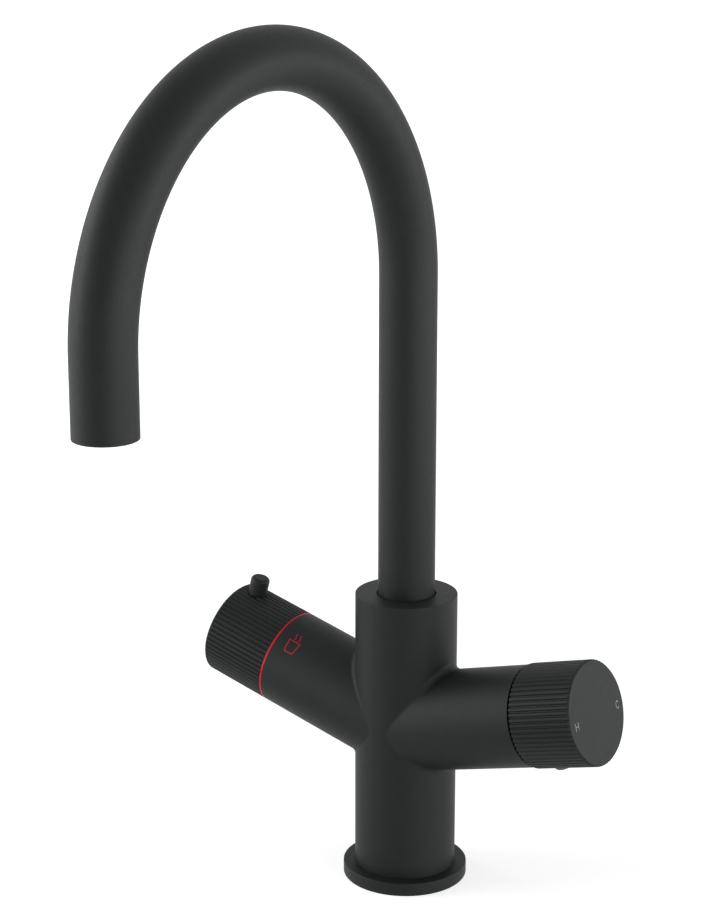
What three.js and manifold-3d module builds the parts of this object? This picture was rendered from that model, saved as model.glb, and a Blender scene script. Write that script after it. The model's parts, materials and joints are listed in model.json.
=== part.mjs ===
// A boiling water tap for a kitchen sink. A round column stands on a flange and carries two arms that
// slope up to either side, each ending in a knurled knob, and a swan-neck spout that swivels on its top.
// The right knob mixes hot and cold water. The left one draws boiling water and has a safety button.
// Millimetres, +Z up. The origin is the middle of the underside. The spout points to -Y, the arms to +X
// and -X. In an arm's own frame +Z runs out along the arm and +X is square to it, upwards.
import * as THREE from "three";
import { mergeVertices, toCreasedNormals } from "three/addons/utils/BufferGeometryUtils.js";
import Module from "manifold-3d";

const wasm = await Module();
wasm.setup();

// ---- Clearances ----
const GAP = 0.3; // between pieces that fit in, seat on or run past each other
const LAPPED_GAP = 0.1; // between the ceramic discs, round the red ring and under the O-rings
const RING_CLEARANCE = 0.2; // between an O-ring or slide ring and its bore

// ---- Column and base ----
const COLUMN_RADIUS = 22.5;
const COLUMN_TOP = 132.5;
const COLUMN_EDGE = 0.4; // chamfer round the top
const BASE_WALL = 6; // column wall round the inlet block
const FLANGE_OVERHANG = 5.2; // beyond the column
const FLANGE_RADIUS = COLUMN_RADIUS + FLANGE_OVERHANG;
const FLANGE_THICKNESS = 6;
const FLANGE_EDGE = 0.6;
const GASKET_WIDTH = 3;
const GASKET_THICKNESS = 2;
const GASKET_MARGIN = 1.6; // flange left outside the gasket
const FLANGE_SCREW_RADIUS = 1.5;
const FLANGE_SCREW_LENGTH = 13;
const SCREW_HEAD_RADIUS = 2.7;
const SCREW_HEAD_HEIGHT = 2.7;
const SCREW_HEAD_RECESS = 0.3; // head above the flange's underside

// ---- Water inlets and channels ----
const BLOCK_HEIGHT = 16;
const INLET_RADIUS = 4.5; // tapping bore of the M10 hose tails
const INLET_DEPTH = 10;
const PORT_OFFSET = 6.8; // inlets and risers from the middle planes
const CHANNEL_RADIUS = 2.6;
const STUD_RADIUS = 2.5; // tapping bore of the M6 fixing studs
const STUD_OFFSET = 12.3;
const STUD_DEPTH = 12;
const BLOCK_RING_HEIGHT = 12.6;
const MIXED_OFFSET = 7.6; // rising channel of the mixed water
const MIXED_RADIUS = 2.3;

// ---- Arms ----
const ARM_RADIUS = 22;
const ARM_TILT = 15; // degrees above level
const ARM_CROSSING = 71.9; // height where both axes cross the column's
const MIXER_ARM_END = 68.95; // along the arm, as are the next ones
const BOILING_ARM_END = 65.6;
const SOCKET_FLOOR = 34;
const MIXER_ARM_WALL = 4.2;
const BOILING_ARM_WALL = 7;

// ---- Valve cartridges ----
const CARTRIDGE_WALL = 3;
const SEAL_THICKNESS = 1.5;
const DISC_THICKNESS = 3;
const DISC_RIM = 2; // left outside the boiling disc's side port
const PORT_LAND = 1.6; // left between a disc's ports
const DRIVER_THICKNESS = 4;
const NUT_THICKNESS = 5;
const NUT_RECESS = 0.6; // nut below the arm's end
const NUT_SLOT_WIDTH = 3;
const NUT_SLOT_DEPTH = 1.6;
const NOSE_RADIUS = 8.6;
const STEM_RADIUS = 5;
const STEM_GRIP = 14; // hexagon inside the knob
const STEM_RING_INSET = 5; // its seal, beyond the driver

// ---- Knobs ----
const MIXER_KNOB_GAP = 1.1; // the dark gap between arm and knob
const MIXER_KNOB_START = MIXER_ARM_END + MIXER_KNOB_GAP;
const MIXER_KNOB_LENGTH = 29.6;
const MIXER_KNOB_STEP = 0.55; // the knob stands out beyond its arm
const MIXER_KNOB_RADIUS = ARM_RADIUS + MIXER_KNOB_STEP;
const BOILING_KNOB_LENGTH = 32.8;
const BOILING_KNOB_RADIUS = ARM_RADIUS; // in line with the arm
const KNOB_WALL = 3.4; // at the boiling knob
const KNOB_END_WALL = 1.6;
const KNOB_CHAMFER = 0.8;
const CARRIER_INSET = 1;
const KNURL_GROOVES = 62;
const KNURL_DEPTH = 0.5;
const KNURL_MOUTH = 1.2;
const KNURL_FLOOR = 0.85;
const RING_THICKNESS = 0.9; // red ring
const RING_WIDTH = 5;
const GRUB_RADIUS = 2.5;
const GRUB_INSET = 5.3; // from the knob's inner end
const GRUB_RECESS = 0.7; // below the knurl, where it shows
const GRUB_SOCKET_RADIUS = 1.4;
const GRUB_SOCKET_DEPTH = 2;
const COVER_RADIUS = 4;
const COVER_PROUD = 2;
const COVER_ANGLE = 170; // degrees from the top of the mixer knob, towards the back
const COVER_EDGE = 0.4;

// ---- Safety button ----
const BUTTON_RADIUS = 4.35;
const BUTTON_PROUD = 8;
const BUTTON_SETBACK = 8.35; // from the knob's outer end
const BUTTON_TRAVEL = 3;
const BUTTON_EDGE = 0.9;
const BUTTON_SHOULDER = 0.6; // shoulder wider than the button
const SHOULDER_THICKNESS = 1.8;
const SHANK_RADIUS = 2.4;
const SHANK_GUIDE = 3.5; // shank held below the spring
const SPRING_LENGTH = 8.6;
const SPRING_WIRE = 0.8;
const SPRING_COILS = 4.5;

// ---- Spout ----
const SPOUT_RADIUS = 12.5;
const SPOUT_WALL = 1.5;
const ARCH_RADIUS = 97.65;
const SPOUT_TIP = 243.6;
const OUTLET_LEG = 30.1; // straight stretch between the arch and the tip
const ARCH_START = SPOUT_TIP + OUTLET_LEG; // height where the riser ends
const SPOUT_BORE_CLEARANCE = 0.5; // round the tube in the column's top
const SPOUT_SEAT = 96; // floor of the bore
const FOOT_HEIGHT = 17;
const SPIGOT_LENGTH = 10;
const SPIGOT_WALL = 1.7;
const FOOT_FLOOR = 15;
const FOOT_HOLES = 6;
const FOOT_HOLE_RADIUS = 1.6;
const WASHER_THICKNESS = 0.6;
const WASHER_WIDTH = 2.5;
const RING_SECTION = 0.9; // radius of an O-ring's section
const SMALL_RING_SECTION = 0.6;
const SLIDE_RING_HEIGHT = 1.8;
const SLIDE_RING_WIDTH = 1.3;
const UPPER_RING_DEPTH = 4.5; // below the column's top
const LOWER_RING_AT = 1.2; // the next three above the foot's underside
const O_RINGS_AT = [5.7, 9.2];
const STOP_SLOT_AT = 13.4;
const STOP_SCREW_RADIUS = 2.5;
const STOP_POINT_RADIUS = 1.5;
const STOP_POINT_DEPTH = 2; // into the foot
const SWIVEL = 90; // degrees to either side
const NIPPLE_RADIUS = 3;
const LOWER_NIPPLE_RADIUS = 3.9;
const LOWER_NIPPLE_LENGTH = 7;
const NIPPLE_BORE = 1.9;
const HOSE_RADIUS = 4.2;
const HOSE_BORE = 3.3;

// ---- Outlet ----
const OUTLET_RECESS = 0.8;
const HOUSING_LENGTH = 11.6;
const HOUSING_WALL = 1.8;
const HOUSING_LIP = 0.6;
const HOUSING_RING_INSET = 2.2; // its O-ring, from the top
const INSERT_THICKNESS = 5;
const JETS = 12;
const JET_RADIUS = 0.85;
const NOZZLE_RADIUS = 3.6;
const NOZZLE_BORE = 2.2;
const NOZZLE_COLLAR = 1;
const NOZZLE_NIPPLE_LENGTH = 9;

// ---- Facets ----
const FINE = 48;
const PLAIN = 16;
const HOLE = 8;
const HEXAGON = 6;
const TUBE_SIDES = 24;
const HOSE_SIDES = 8;
const ARCH_STEPS = 20;
const COIL_STEPS = 8;
const WIRE_SIDES = 5;
const RING_SECTION_SIDES = 5;
const OVERCUT = 1; // how far a cut runs past the face it opens

// ---- Worked-out sizes ----
const tilt = THREE.MathUtils.degToRad(ARM_TILT);
const blockRadius = COLUMN_RADIUS - BASE_WALL;
const pocketRoof = BLOCK_HEIGHT + GAP;
const gasketOutside = FLANGE_RADIUS - GASKET_MARGIN;
const flangeScrewOffset = COLUMN_RADIUS - BASE_WALL / 2;
const mixerSocket = ARM_RADIUS - MIXER_ARM_WALL;
const boilingSocket = ARM_RADIUS - BOILING_ARM_WALL;
const boilingDiscRadius = boilingSocket - 2 * GAP - CARTRIDGE_WALL;
const portRadius = (boilingDiscRadius - DISC_RIM - PORT_LAND) / 3; // the disc's radius holds three
const sidePort = 2 * portRadius + PORT_LAND; // from the disc's middle
const boilingKnobStart = BOILING_ARM_END + 2 * LAPPED_GAP + RING_THICKNESS;
const knobBore = ARM_RADIUS - KNOB_WALL;
const spoutReach = 2 * ARCH_RADIUS;
const spoutBore = SPOUT_RADIUS + SPOUT_BORE_CLEARANCE;
const tubeBore = SPOUT_RADIUS - SPOUT_WALL;
const washerTop = SPOUT_SEAT + LAPPED_GAP + WASHER_THICKNESS;
const footBottom = washerTop + GAP;
const footTop = footBottom + FOOT_HEIGHT;
const footRadius = spoutBore - GAP;
const nippleBore = LOWER_NIPPLE_RADIUS + GAP;
const stopHeight = footBottom + STOP_SLOT_AT;
const upperRingStart = COLUMN_TOP - UPPER_RING_DEPTH;
const upperRingTop = upperRingStart + SLIDE_RING_HEIGHT;
const buttonEdgeBow = BUTTON_EDGE * (1 - Math.SQRT1_2); // middle of the rounded edge, in from its corner

// ---- Solids ----

// Turns a closed geometry into a solid, dropping the empty faces that a lathe leaves on its axis.
function solid(geometry) {
  const bare = new THREE.BufferGeometry();
  const source = geometry.index ? geometry.toNonIndexed() : geometry;
  bare.setAttribute("position", source.getAttribute("position"));
  const merged = mergeVertices(bare, 1e-4);
  const index = merged.index.array;
  const faces = [];
  for (let i = 0; i < index.length; i += 3) {
    const [a, b, c] = index.subarray(i, i + 3);
    if (a !== b && b !== c && c !== a) faces.push([a, b, c]);
  }
  const vertProperties = merged.getAttribute("position").array;
  const build = (list) =>
    new wasm.Manifold(new wasm.Mesh({ numProp: 3, vertProperties, triVerts: new Uint32Array(list.flat()) }));
  const made = build(faces);
  return made.volume() < 0 ? build(faces.map(([a, b, c]) => [a, c, b])) : made;
}

// Joins solids or geometries into one.
function join(...shapes) {
  return shapes.map(asSolid).reduce((sum, next) => sum.add(next));
}

// Cuts solids or geometries out of the first.
function cut(shape, ...tools) {
  return tools.flat().map(asSolid).reduce((left, tool) => left.subtract(tool), asSolid(shape));
}

function asSolid(shape) {
  return shape.isBufferGeometry ? solid(shape) : shape;
}

function geometryOf(shape) {
  const { vertProperties, triVerts } = asSolid(shape).getMesh();
  const geometry = new THREE.BufferGeometry();
  geometry.setAttribute("position", new THREE.BufferAttribute(vertProperties, 3));
  geometry.setIndex(new THREE.BufferAttribute(triVerts, 1));
  return toCreasedNormals(geometry, THREE.MathUtils.degToRad(35));
}

// A cylinder along Z between two heights.
function rod(radius, from, to, sides = PLAIN) {
  return new THREE.CylinderGeometry(radius, radius, to - from, sides)
    .rotateX(Math.PI / 2)
    .translate(0, 0, (from + to) / 2);
}

// A shape turned about Z from [radius, height] corners that close on themselves or on the axis.
function turned(corners, sides = PLAIN) {
  const profile = [...corners, corners[0]].map(([radius, height]) => new THREE.Vector2(radius, height));
  return new THREE.LatheGeometry(profile, sides).rotateX(Math.PI / 2);
}

// A flat ring or sleeve about Z.
function sleeve(outer, inner, from, to, sides = PLAIN) {
  return turned([[inner, from], [outer, from], [outer, to], [inner, to]], sides);
}

// A round drilling between two points.
function drilling(radius, from, to, sides = HOLE) {
  const start = new THREE.Vector3(...from);
  const run = new THREE.Vector3(...to).sub(start);
  const turn = new THREE.Quaternion().setFromUnitVectors(new THREE.Vector3(0, 0, 1), run.clone().normalize());
  return rod(radius, 0, run.length(), sides).applyQuaternion(turn).translate(...from);
}

// An O-ring that lies in a groove and reaches almost to the bore round it.
function oRing(bore, section, height) {
  const middle = bore - RING_CLEARANCE - section;
  return new THREE.TorusGeometry(middle, section, RING_SECTION_SIDES, PLAIN).translate(0, 0, height);
}

// The corners of that O-ring's groove in a turned profile that runs upwards.
function groove(radius, bore, section, height) {
  const seat = bore - RING_CLEARANCE - 2 * section - LAPPED_GAP;
  const bottom = height - section - GAP;
  const top = height + section + GAP;
  return [[radius, bottom], [seat, bottom], [seat, top], [radius, top]];
}

function circle(radius, sides) {
  return Array.from({ length: sides }, (_, side) => {
    const angle = (2 * Math.PI * side) / sides;
    return new THREE.Vector2(radius * Math.cos(angle), radius * Math.sin(angle));
  });
}

// Places a shape at even steps round the Z axis.
function around(count, make) {
  return Array.from({ length: count }, (_, copy) => make().rotateZ((2 * Math.PI * copy) / count));
}

// ---- Finishes ----
function finish(color, roughness, metalness) {
  return new THREE.MeshStandardMaterial({ color, roughness, metalness });
}
const matteBlack = () => finish(0x303231, 0.5, 0.2);
const brass = () => finish(0xb8954f, 0.35, 0.9);
const steel = () => finish(0xb9bcbd, 0.3, 1);
const rubber = () => finish(0x1a1a1a, 0.85, 0);
const blackPlastic = () => finish(0x242424, 0.6, 0);
const greyPlastic = () => finish(0xb4b7b8, 0.5, 0);
const whitePlastic = () => finish(0xe6e4de, 0.5, 0);
const ceramic = () => finish(0xf0eee6, 0.25, 0);
const silicone = () => finish(0xd8d8d2, 0.6, 0);
const redPlastic = () => finish(0xc8202a, 0.4, 0);

const tap = new THREE.Group();

function piece(parent, name, shape, material) {
  const mesh = new THREE.Mesh(geometryOf(shape), material);
  mesh.name = name;
  parent.add(mesh);
}

// ---- Arms' frames ----
// Both have +Z out along the arm and +X upwards, so +Y is the back on the left and the front on the right.
function armFrame(side) {
  const frame = new THREE.Group();
  frame.position.z = ARM_CROSSING;
  frame.rotation.set(0, side * (Math.PI / 2 - tilt), side > 0 ? Math.PI : 0);
  frame.updateMatrix();
  tap.add(frame);
  return frame;
}
const mixerArm = armFrame(1);
const boilingArm = armFrame(-1);
const inArm = (arm, geometry) => geometry.applyMatrix4(arm.matrix);

// A point on an arm's middle plane, moved sideways: out along the arm, then world Y.
function armPoint(side, out, y = 0) {
  return [side * out * Math.cos(tilt), y, ARM_CROSSING + out * Math.sin(tilt)];
}

// ---- Body ----
// Channels inside the body: cold and hot to the mixer, boiling to the other arm, and both on to the spout.
function channels() {
  const rise = (x, y, from, to, radius = CHANNEL_RADIUS) => drilling(radius, [x, y, from], [x, y, to]);
  const along = (side, start, y) =>
    drilling(CHANNEL_RADIUS, armPoint(side, start, y), armPoint(side, SOCKET_FLOOR + OVERCUT, y));
  const portRun = PORT_OFFSET / Math.cos(tilt);
  const portHeight = ARM_CROSSING + PORT_OFFSET * Math.tan(tilt);
  const mixedRun = MIXED_OFFSET / Math.cos(tilt);
  const mixedHeight = ARM_CROSSING + MIXED_OFFSET * Math.tan(tilt);
  const below = pocketRoof - OVERCUT;
  const above = SPOUT_SEAT + OVERCUT;
  return [
    rise(PORT_OFFSET, PORT_OFFSET, below, portHeight),
    along(1, portRun, sidePort),
    rise(PORT_OFFSET, -PORT_OFFSET, below, portHeight),
    along(1, portRun, -sidePort),
    rise(-PORT_OFFSET, -PORT_OFFSET, below, portHeight),
    along(-1, portRun, -sidePort),
    along(1, mixedRun, 0),
    rise(MIXED_OFFSET, 0, mixedHeight, above, MIXED_RADIUS),
    along(-1, 0, 0),
    rise(0, 0, ARM_CROSSING, above),
    rod(nippleBore, SPOUT_SEAT - LOWER_NIPPLE_LENGTH, above),
  ];
}

function bodyCasting() {
  const column = turned(
    [
      [0, FLANGE_THICKNESS],
      [COLUMN_RADIUS, FLANGE_THICKNESS],
      [COLUMN_RADIUS, COLUMN_TOP - COLUMN_EDGE],
      [COLUMN_RADIUS - COLUMN_EDGE, COLUMN_TOP],
      [0, COLUMN_TOP],
    ],
    FINE,
  );
  const outside = join(
    column,
    inArm(mixerArm, rod(ARM_RADIUS, 0, MIXER_ARM_END, FINE)),
    inArm(boilingArm, rod(ARM_RADIUS, 0, BOILING_ARM_END, FINE)),
  );
  return cut(
    outside,
    rod(blockRadius + GAP, FLANGE_THICKNESS - OVERCUT, pocketRoof, PLAIN),
    rod(spoutBore, SPOUT_SEAT, COLUMN_TOP + OVERCUT, TUBE_SIDES),
    rod(
      SPOUT_RADIUS + SLIDE_RING_WIDTH + 2 * GAP,
      upperRingStart - GAP,
      upperRingTop + GAP,
      TUBE_SIDES,
    ),
    inArm(mixerArm, rod(mixerSocket, SOCKET_FLOOR, MIXER_ARM_END + OVERCUT, TUBE_SIDES)),
    inArm(boilingArm, rod(boilingSocket, SOCKET_FLOOR, BOILING_ARM_END + OVERCUT, TUBE_SIDES)),
    channels(),
    [-1, 1].map((side) =>
      drilling(
        FLANGE_SCREW_RADIUS + GAP,
        [side * flangeScrewOffset, 0, FLANGE_THICKNESS - OVERCUT],
        [side * flangeScrewOffset, 0, SCREW_HEAD_RECESS + FLANGE_SCREW_LENGTH + GAP],
      ),
    ),
    drilling(STOP_SCREW_RADIUS + GAP, [0, 0, stopHeight], [0, COLUMN_RADIUS + OVERCUT, stopHeight]),
  );
}

// ---- Base ----
function baseFlange() {
  const inner = blockRadius + GAP;
  const ring = turned(
    [
      [inner, 0],
      [FLANGE_RADIUS - FLANGE_EDGE, 0],
      [FLANGE_RADIUS, FLANGE_EDGE],
      [FLANGE_RADIUS, FLANGE_THICKNESS - FLANGE_EDGE],
      [FLANGE_RADIUS - FLANGE_EDGE, FLANGE_THICKNESS],
      [inner, FLANGE_THICKNESS],
    ],
    FINE,
  );
  const groove = sleeve(
    gasketOutside + GAP,
    gasketOutside - GASKET_WIDTH - GAP,
    -OVERCUT,
    GASKET_THICKNESS + GAP,
    FINE,
  );
  const screwHoles = [-1, 1].flatMap((side) => {
    const at = side * flangeScrewOffset;
    const headRoom = SCREW_HEAD_RECESS + SCREW_HEAD_HEIGHT + GAP;
    return [
      rod(FLANGE_SCREW_RADIUS + GAP, -OVERCUT, FLANGE_THICKNESS + OVERCUT, HOLE).translate(at, 0, 0),
      rod(SCREW_HEAD_RADIUS + GAP, -OVERCUT, headRoom, HOLE).translate(at, 0, 0),
    ];
  });
  return cut(ring, groove, screwHoles);
}

function flangeScrew(side) {
  const headTop = SCREW_HEAD_RECESS + SCREW_HEAD_HEIGHT;
  const shape = turned(
    [
      [0, SCREW_HEAD_RECESS],
      [SCREW_HEAD_RADIUS, SCREW_HEAD_RECESS],
      [SCREW_HEAD_RADIUS, headTop],
      [FLANGE_SCREW_RADIUS, headTop],
      [FLANGE_SCREW_RADIUS, SCREW_HEAD_RECESS + FLANGE_SCREW_LENGTH],
      [0, SCREW_HEAD_RECESS + FLANGE_SCREW_LENGTH],
    ],
    HOLE,
  );
  const socket = rod(GRUB_SOCKET_RADIUS, 0, SCREW_HEAD_RECESS + SCREW_HEAD_HEIGHT / 2, HEXAGON);
  return cut(shape, socket).translate([side * flangeScrewOffset, 0, 0]);
}

// The block where the three hoses and the two fixing studs screw in from below.
function inletBlock() {
  const shape = turned([
    [0, 0],
    [blockRadius, 0],
    ...groove(blockRadius, blockRadius + GAP, RING_SECTION, BLOCK_RING_HEIGHT),
    [blockRadius, BLOCK_HEIGHT],
    [0, BLOCK_HEIGHT],
  ]);
  const inlets = [[1, 1], [1, -1], [-1, -1]].flatMap(([x, y]) => [
    rod(INLET_RADIUS, -OVERCUT, INLET_DEPTH, HOLE).translate(x * PORT_OFFSET, y * PORT_OFFSET, 0),
    rod(CHANNEL_RADIUS, 0, BLOCK_HEIGHT + OVERCUT, HOLE).translate(x * PORT_OFFSET, y * PORT_OFFSET, 0),
  ]);
  const studs = [-1, 1].map((side) =>
    rod(STUD_RADIUS, -OVERCUT, STUD_DEPTH, HOLE).translate(0, side * STUD_OFFSET, 0),
  );
  return cut(shape, inlets, studs);
}

piece(tap, "body_casting", bodyCasting(), matteBlack());
piece(tap, "base_flange", baseFlange(), matteBlack());
const gasket = sleeve(gasketOutside, gasketOutside - GASKET_WIDTH, 0, GASKET_THICKNESS, FINE);
piece(tap, "base_gasket", gasket, rubber());
piece(tap, "flange_screw_left", flangeScrew(-1), steel());
piece(tap, "flange_screw_right", flangeScrew(1), steel());
piece(tap, "inlet_block", inletBlock(), brass());
piece(tap, "inlet_block_o_ring", oRing(blockRadius + GAP, RING_SECTION, BLOCK_RING_HEIGHT), rubber());

// ---- Valve cartridges ----
// The turning disc's slot links the middle port to a side port when it lies over that one.
const discStart = SOCKET_FLOOR + GAP + SEAL_THICKNESS + GAP;
const turningStart = discStart + DISC_THICKNESS + LAPPED_GAP;
const driverStart = turningStart + DISC_THICKNESS + GAP;
const cavityRoof = driverStart + DRIVER_THICKNESS + GAP;
const stemBore = STEM_RADIUS + GAP;
const stemRing = cavityRoof + STEM_RING_INSET;

function portHoles(ports, from, to) {
  return ports.map((y) => rod(portRadius, from - OVERCUT, to + OVERCUT, HOLE).translate(0, y, 0));
}

function ported(radius, from, thickness, ports) {
  return cut(rod(radius, from, from + thickness), portHoles(ports, from, from + thickness));
}

function turningDisc(radius) {
  const end = turningStart + DISC_THICKNESS;
  const slot = join(
    rod(portRadius, turningStart - OVERCUT, end + OVERCUT, HOLE),
    new THREE.BoxGeometry(sidePort, 2 * portRadius, DISC_THICKNESS + 2 * OVERCUT).translate(
      sidePort / 2,
      0,
      (turningStart + end) / 2,
    ),
    rod(portRadius, turningStart - OVERCUT, end + OVERCUT, HOLE).translate(sidePort, 0, 0),
  );
  return cut(rod(radius, turningStart, end), slot);
}

function cartridgeBody(outer, shoulder, noseEnd) {
  const cavity = outer - CARTRIDGE_WALL;
  return turned([
    [cavity, SOCKET_FLOOR + GAP],
    [outer, SOCKET_FLOOR + GAP],
    [outer, shoulder],
    [NOSE_RADIUS, shoulder],
    [NOSE_RADIUS, noseEnd],
    [stemBore, noseEnd],
    [stemBore, cavityRoof],
    [cavity, cavityRoof],
  ]);
}

function stem(driverRadius, noseEnd, end) {
  const round = turned([
    [0, driverStart],
    [driverRadius, driverStart],
    [driverRadius, driverStart + DRIVER_THICKNESS],
    [STEM_RADIUS, driverStart + DRIVER_THICKNESS],
    ...groove(STEM_RADIUS, stemBore, RING_SECTION, stemRing),
    [STEM_RADIUS, noseEnd],
    [0, noseEnd],
  ]);
  return join(round, rod(STEM_RADIUS, noseEnd - OVERCUT, end, HEXAGON));
}

function retainingNut(outer, from, to) {
  const slot = () =>
    new THREE.BoxGeometry(outer, NUT_SLOT_WIDTH, NUT_SLOT_DEPTH + OVERCUT).translate(
      outer / 2 + NOSE_RADIUS,
      0,
      to + (OVERCUT - NUT_SLOT_DEPTH) / 2,
    );
  return cut(sleeve(outer, NOSE_RADIUS + GAP, from, to), around(4, slot));
}

// Everything between an arm's socket floor and its knob.
function addCartridge(arm, name, socket, armEnd, knobStart, ports) {
  const outer = socket - GAP;
  const cavity = outer - CARTRIDGE_WALL;
  const nutEnd = armEnd - NUT_RECESS;
  const nutStart = nutEnd - NUT_THICKNESS;
  const sealStart = SOCKET_FLOOR + GAP;
  piece(arm, name + "_cartridge_seal", ported(cavity - GAP, sealStart, SEAL_THICKNESS, ports), rubber());
  piece(arm, name + "_cartridge_body", cartridgeBody(outer, nutStart - GAP, nutEnd), brass());
  piece(arm, name + "_fixed_disc", ported(cavity - GAP, discStart, DISC_THICKNESS, ports), ceramic());
  piece(arm, name + "_turning_disc", turningDisc(cavity - GAP), ceramic());
  piece(arm, name + "_stem", stem(cavity - GAP, nutEnd, knobStart + STEM_GRIP), brass());
  piece(arm, name + "_stem_o_ring", oRing(stemBore, RING_SECTION, stemRing), rubber());
  piece(arm, name + "_retaining_nut", retainingNut(outer, nutStart, nutEnd), brass());
}
addCartridge(mixerArm, "mixer", mixerSocket, MIXER_ARM_END, MIXER_KNOB_START, [0, sidePort, -sidePort]);
addCartridge(boilingArm, "boiling", boilingSocket, BOILING_ARM_END, boilingKnobStart, [0, -sidePort]);

// ---- Knobs ----

// The outline of a straight knurl: each groove has a floor and two sloping walls.
function knurlOutline(landRadius) {
  const corners = [
    [-KNURL_MOUTH / 2, landRadius],
    [-KNURL_FLOOR / 2, landRadius - KNURL_DEPTH],
    [KNURL_FLOOR / 2, landRadius - KNURL_DEPTH],
    [KNURL_MOUTH / 2, landRadius],
  ];
  return Array.from({ length: KNURL_GROOVES }, (_, groove) =>
    corners.map(([across, radius]) => {
      const angle = (2 * Math.PI * groove) / KNURL_GROOVES + across / landRadius;
      return new THREE.Vector2(radius * Math.cos(angle), radius * Math.sin(angle));
    }),
  ).flat();
}

function knob(landRadius, start, length, ...holes) {
  const end = start + length;
  const knurled = new THREE.ExtrudeGeometry(new THREE.Shape(knurlOutline(landRadius)), {
    depth: length,
    bevelEnabled: false,
  }).translate(0, 0, start);
  const blank = turned(
    [
      [0, start - OVERCUT],
      [landRadius + OVERCUT, start - OVERCUT],
      [landRadius + OVERCUT, end - KNOB_CHAMFER - OVERCUT],
      [landRadius - KNOB_CHAMFER, end],
      [0, end],
    ],
    FINE,
  );
  const cup = solid(knurled).intersect(solid(blank));
  return cut(cup, rod(knobBore, start - OVERCUT, end - KNOB_END_WALL, TUBE_SIDES), holes);
}

// A radial drilling or pin in an arm's frame, at an angle from its +X towards its +Y.
function radial(radius, from, to, out, angle, sides = HOLE) {
  return rod(radius, from, to, sides).rotateY(Math.PI / 2).rotateZ(angle).translate(0, 0, out);
}

// The hub inside a knob, which grips the stem's hexagon.
function knobCarrier(start, length, ...holes) {
  const from = start + CARRIER_INSET;
  const to = start + length - KNOB_END_WALL - GAP;
  const hexagon = rod(STEM_RADIUS + GAP, from - OVERCUT, start + STEM_GRIP + GAP, HEXAGON);
  return cut(rod(knobBore - GAP, from, to), hexagon, holes);
}

function grubScrew(outer, out, angle) {
  const tip = STEM_RADIUS + GAP;
  return cut(
    radial(GRUB_RADIUS, tip, outer, out, angle),
    radial(GRUB_SOCKET_RADIUS, outer - GRUB_SOCKET_DEPTH, outer + OVERCUT, out, angle, HEXAGON),
  );
}

// The mixer knob's grub screw lies under a round cover that stands a little proud of the knurl.
const coverAngle = -THREE.MathUtils.degToRad(COVER_ANGLE);
const mixerGrubAt = MIXER_KNOB_START + GRUB_INSET;
const coverTop = MIXER_KNOB_RADIUS + COVER_PROUD;
const screwCover = turned(
  [
    [0, knobBore + GAP],
    [COVER_RADIUS, knobBore + GAP],
    [COVER_RADIUS, coverTop - COVER_EDGE],
    [COVER_RADIUS - COVER_EDGE, coverTop],
    [0, coverTop],
  ],
  PLAIN,
).rotateY(Math.PI / 2).rotateZ(coverAngle).translate(0, 0, mixerGrubAt);
const coverHole = radial(COVER_RADIUS + GAP, 0, coverTop, mixerGrubAt, coverAngle, PLAIN);
const mixerGrubHole = radial(GRUB_RADIUS + GAP, 0, coverTop, mixerGrubAt, coverAngle);
const mixerKnob = knob(MIXER_KNOB_RADIUS, MIXER_KNOB_START, MIXER_KNOB_LENGTH, coverHole);
const mixerCarrier = knobCarrier(MIXER_KNOB_START, MIXER_KNOB_LENGTH, mixerGrubHole);
piece(mixerArm, "mixer_knob", mixerKnob, matteBlack());
piece(mixerArm, "mixer_knob_carrier", mixerCarrier, whitePlastic());
piece(mixerArm, "mixer_grub_screw", grubScrew(knobBore, mixerGrubAt, coverAngle), steel());
piece(mixerArm, "mixer_screw_cover", screwCover, matteBlack());

// ---- Safety button: heights are distances from the arm's axis ----
const buttonAt = boilingKnobStart + BOILING_KNOB_LENGTH - BUTTON_SETBACK;
const shoulderRadius = BUTTON_RADIUS + BUTTON_SHOULDER;
const pocketRadius = shoulderRadius + GAP;
const shoulderTop = Math.sqrt(knobBore ** 2 - pocketRadius ** 2) - GAP;
const shoulderBottom = shoulderTop - SHOULDER_THICKNESS;
const springTop = shoulderBottom - GAP;
const pocketFloor = springTop - SPRING_LENGTH - GAP;
const shankEnd = pocketFloor - SHANK_GUIDE;
const buttonTop = BOILING_KNOB_RADIUS + BUTTON_PROUD;
const onTop = (geometry) => geometry.rotateY(Math.PI / 2).translate(0, 0, buttonAt);

const safetyButton = turned(
  [
    [0, shankEnd],
    [SHANK_RADIUS, shankEnd],
    [SHANK_RADIUS, shoulderBottom],
    [shoulderRadius, shoulderBottom],
    [shoulderRadius, shoulderTop],
    [BUTTON_RADIUS, shoulderTop],
    [BUTTON_RADIUS, buttonTop - BUTTON_EDGE],
    [BUTTON_RADIUS - buttonEdgeBow, buttonTop - buttonEdgeBow],
    [BUTTON_RADIUS - BUTTON_EDGE, buttonTop],
    [0, buttonTop],
  ],
  PLAIN,
);

// A coil spring, from one end to the other of its length.
class Helix extends THREE.Curve {
  getPoint(t) {
    const radius = (SHANK_RADIUS + pocketRadius) / 2;
    const angle = 2 * Math.PI * SPRING_COILS * t;
    const height = pocketFloor + GAP + SPRING_WIRE / 2 + t * (SPRING_LENGTH - SPRING_WIRE);
    return new THREE.Vector3(radius * Math.cos(angle), radius * Math.sin(angle), height);
  }
}
const buttonSpring = new THREE.ExtrudeGeometry(new THREE.Shape(circle(SPRING_WIRE / 2, WIRE_SIDES)), {
  extrudePath: new Helix(),
  steps: SPRING_COILS * COIL_STEPS,
});

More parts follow.
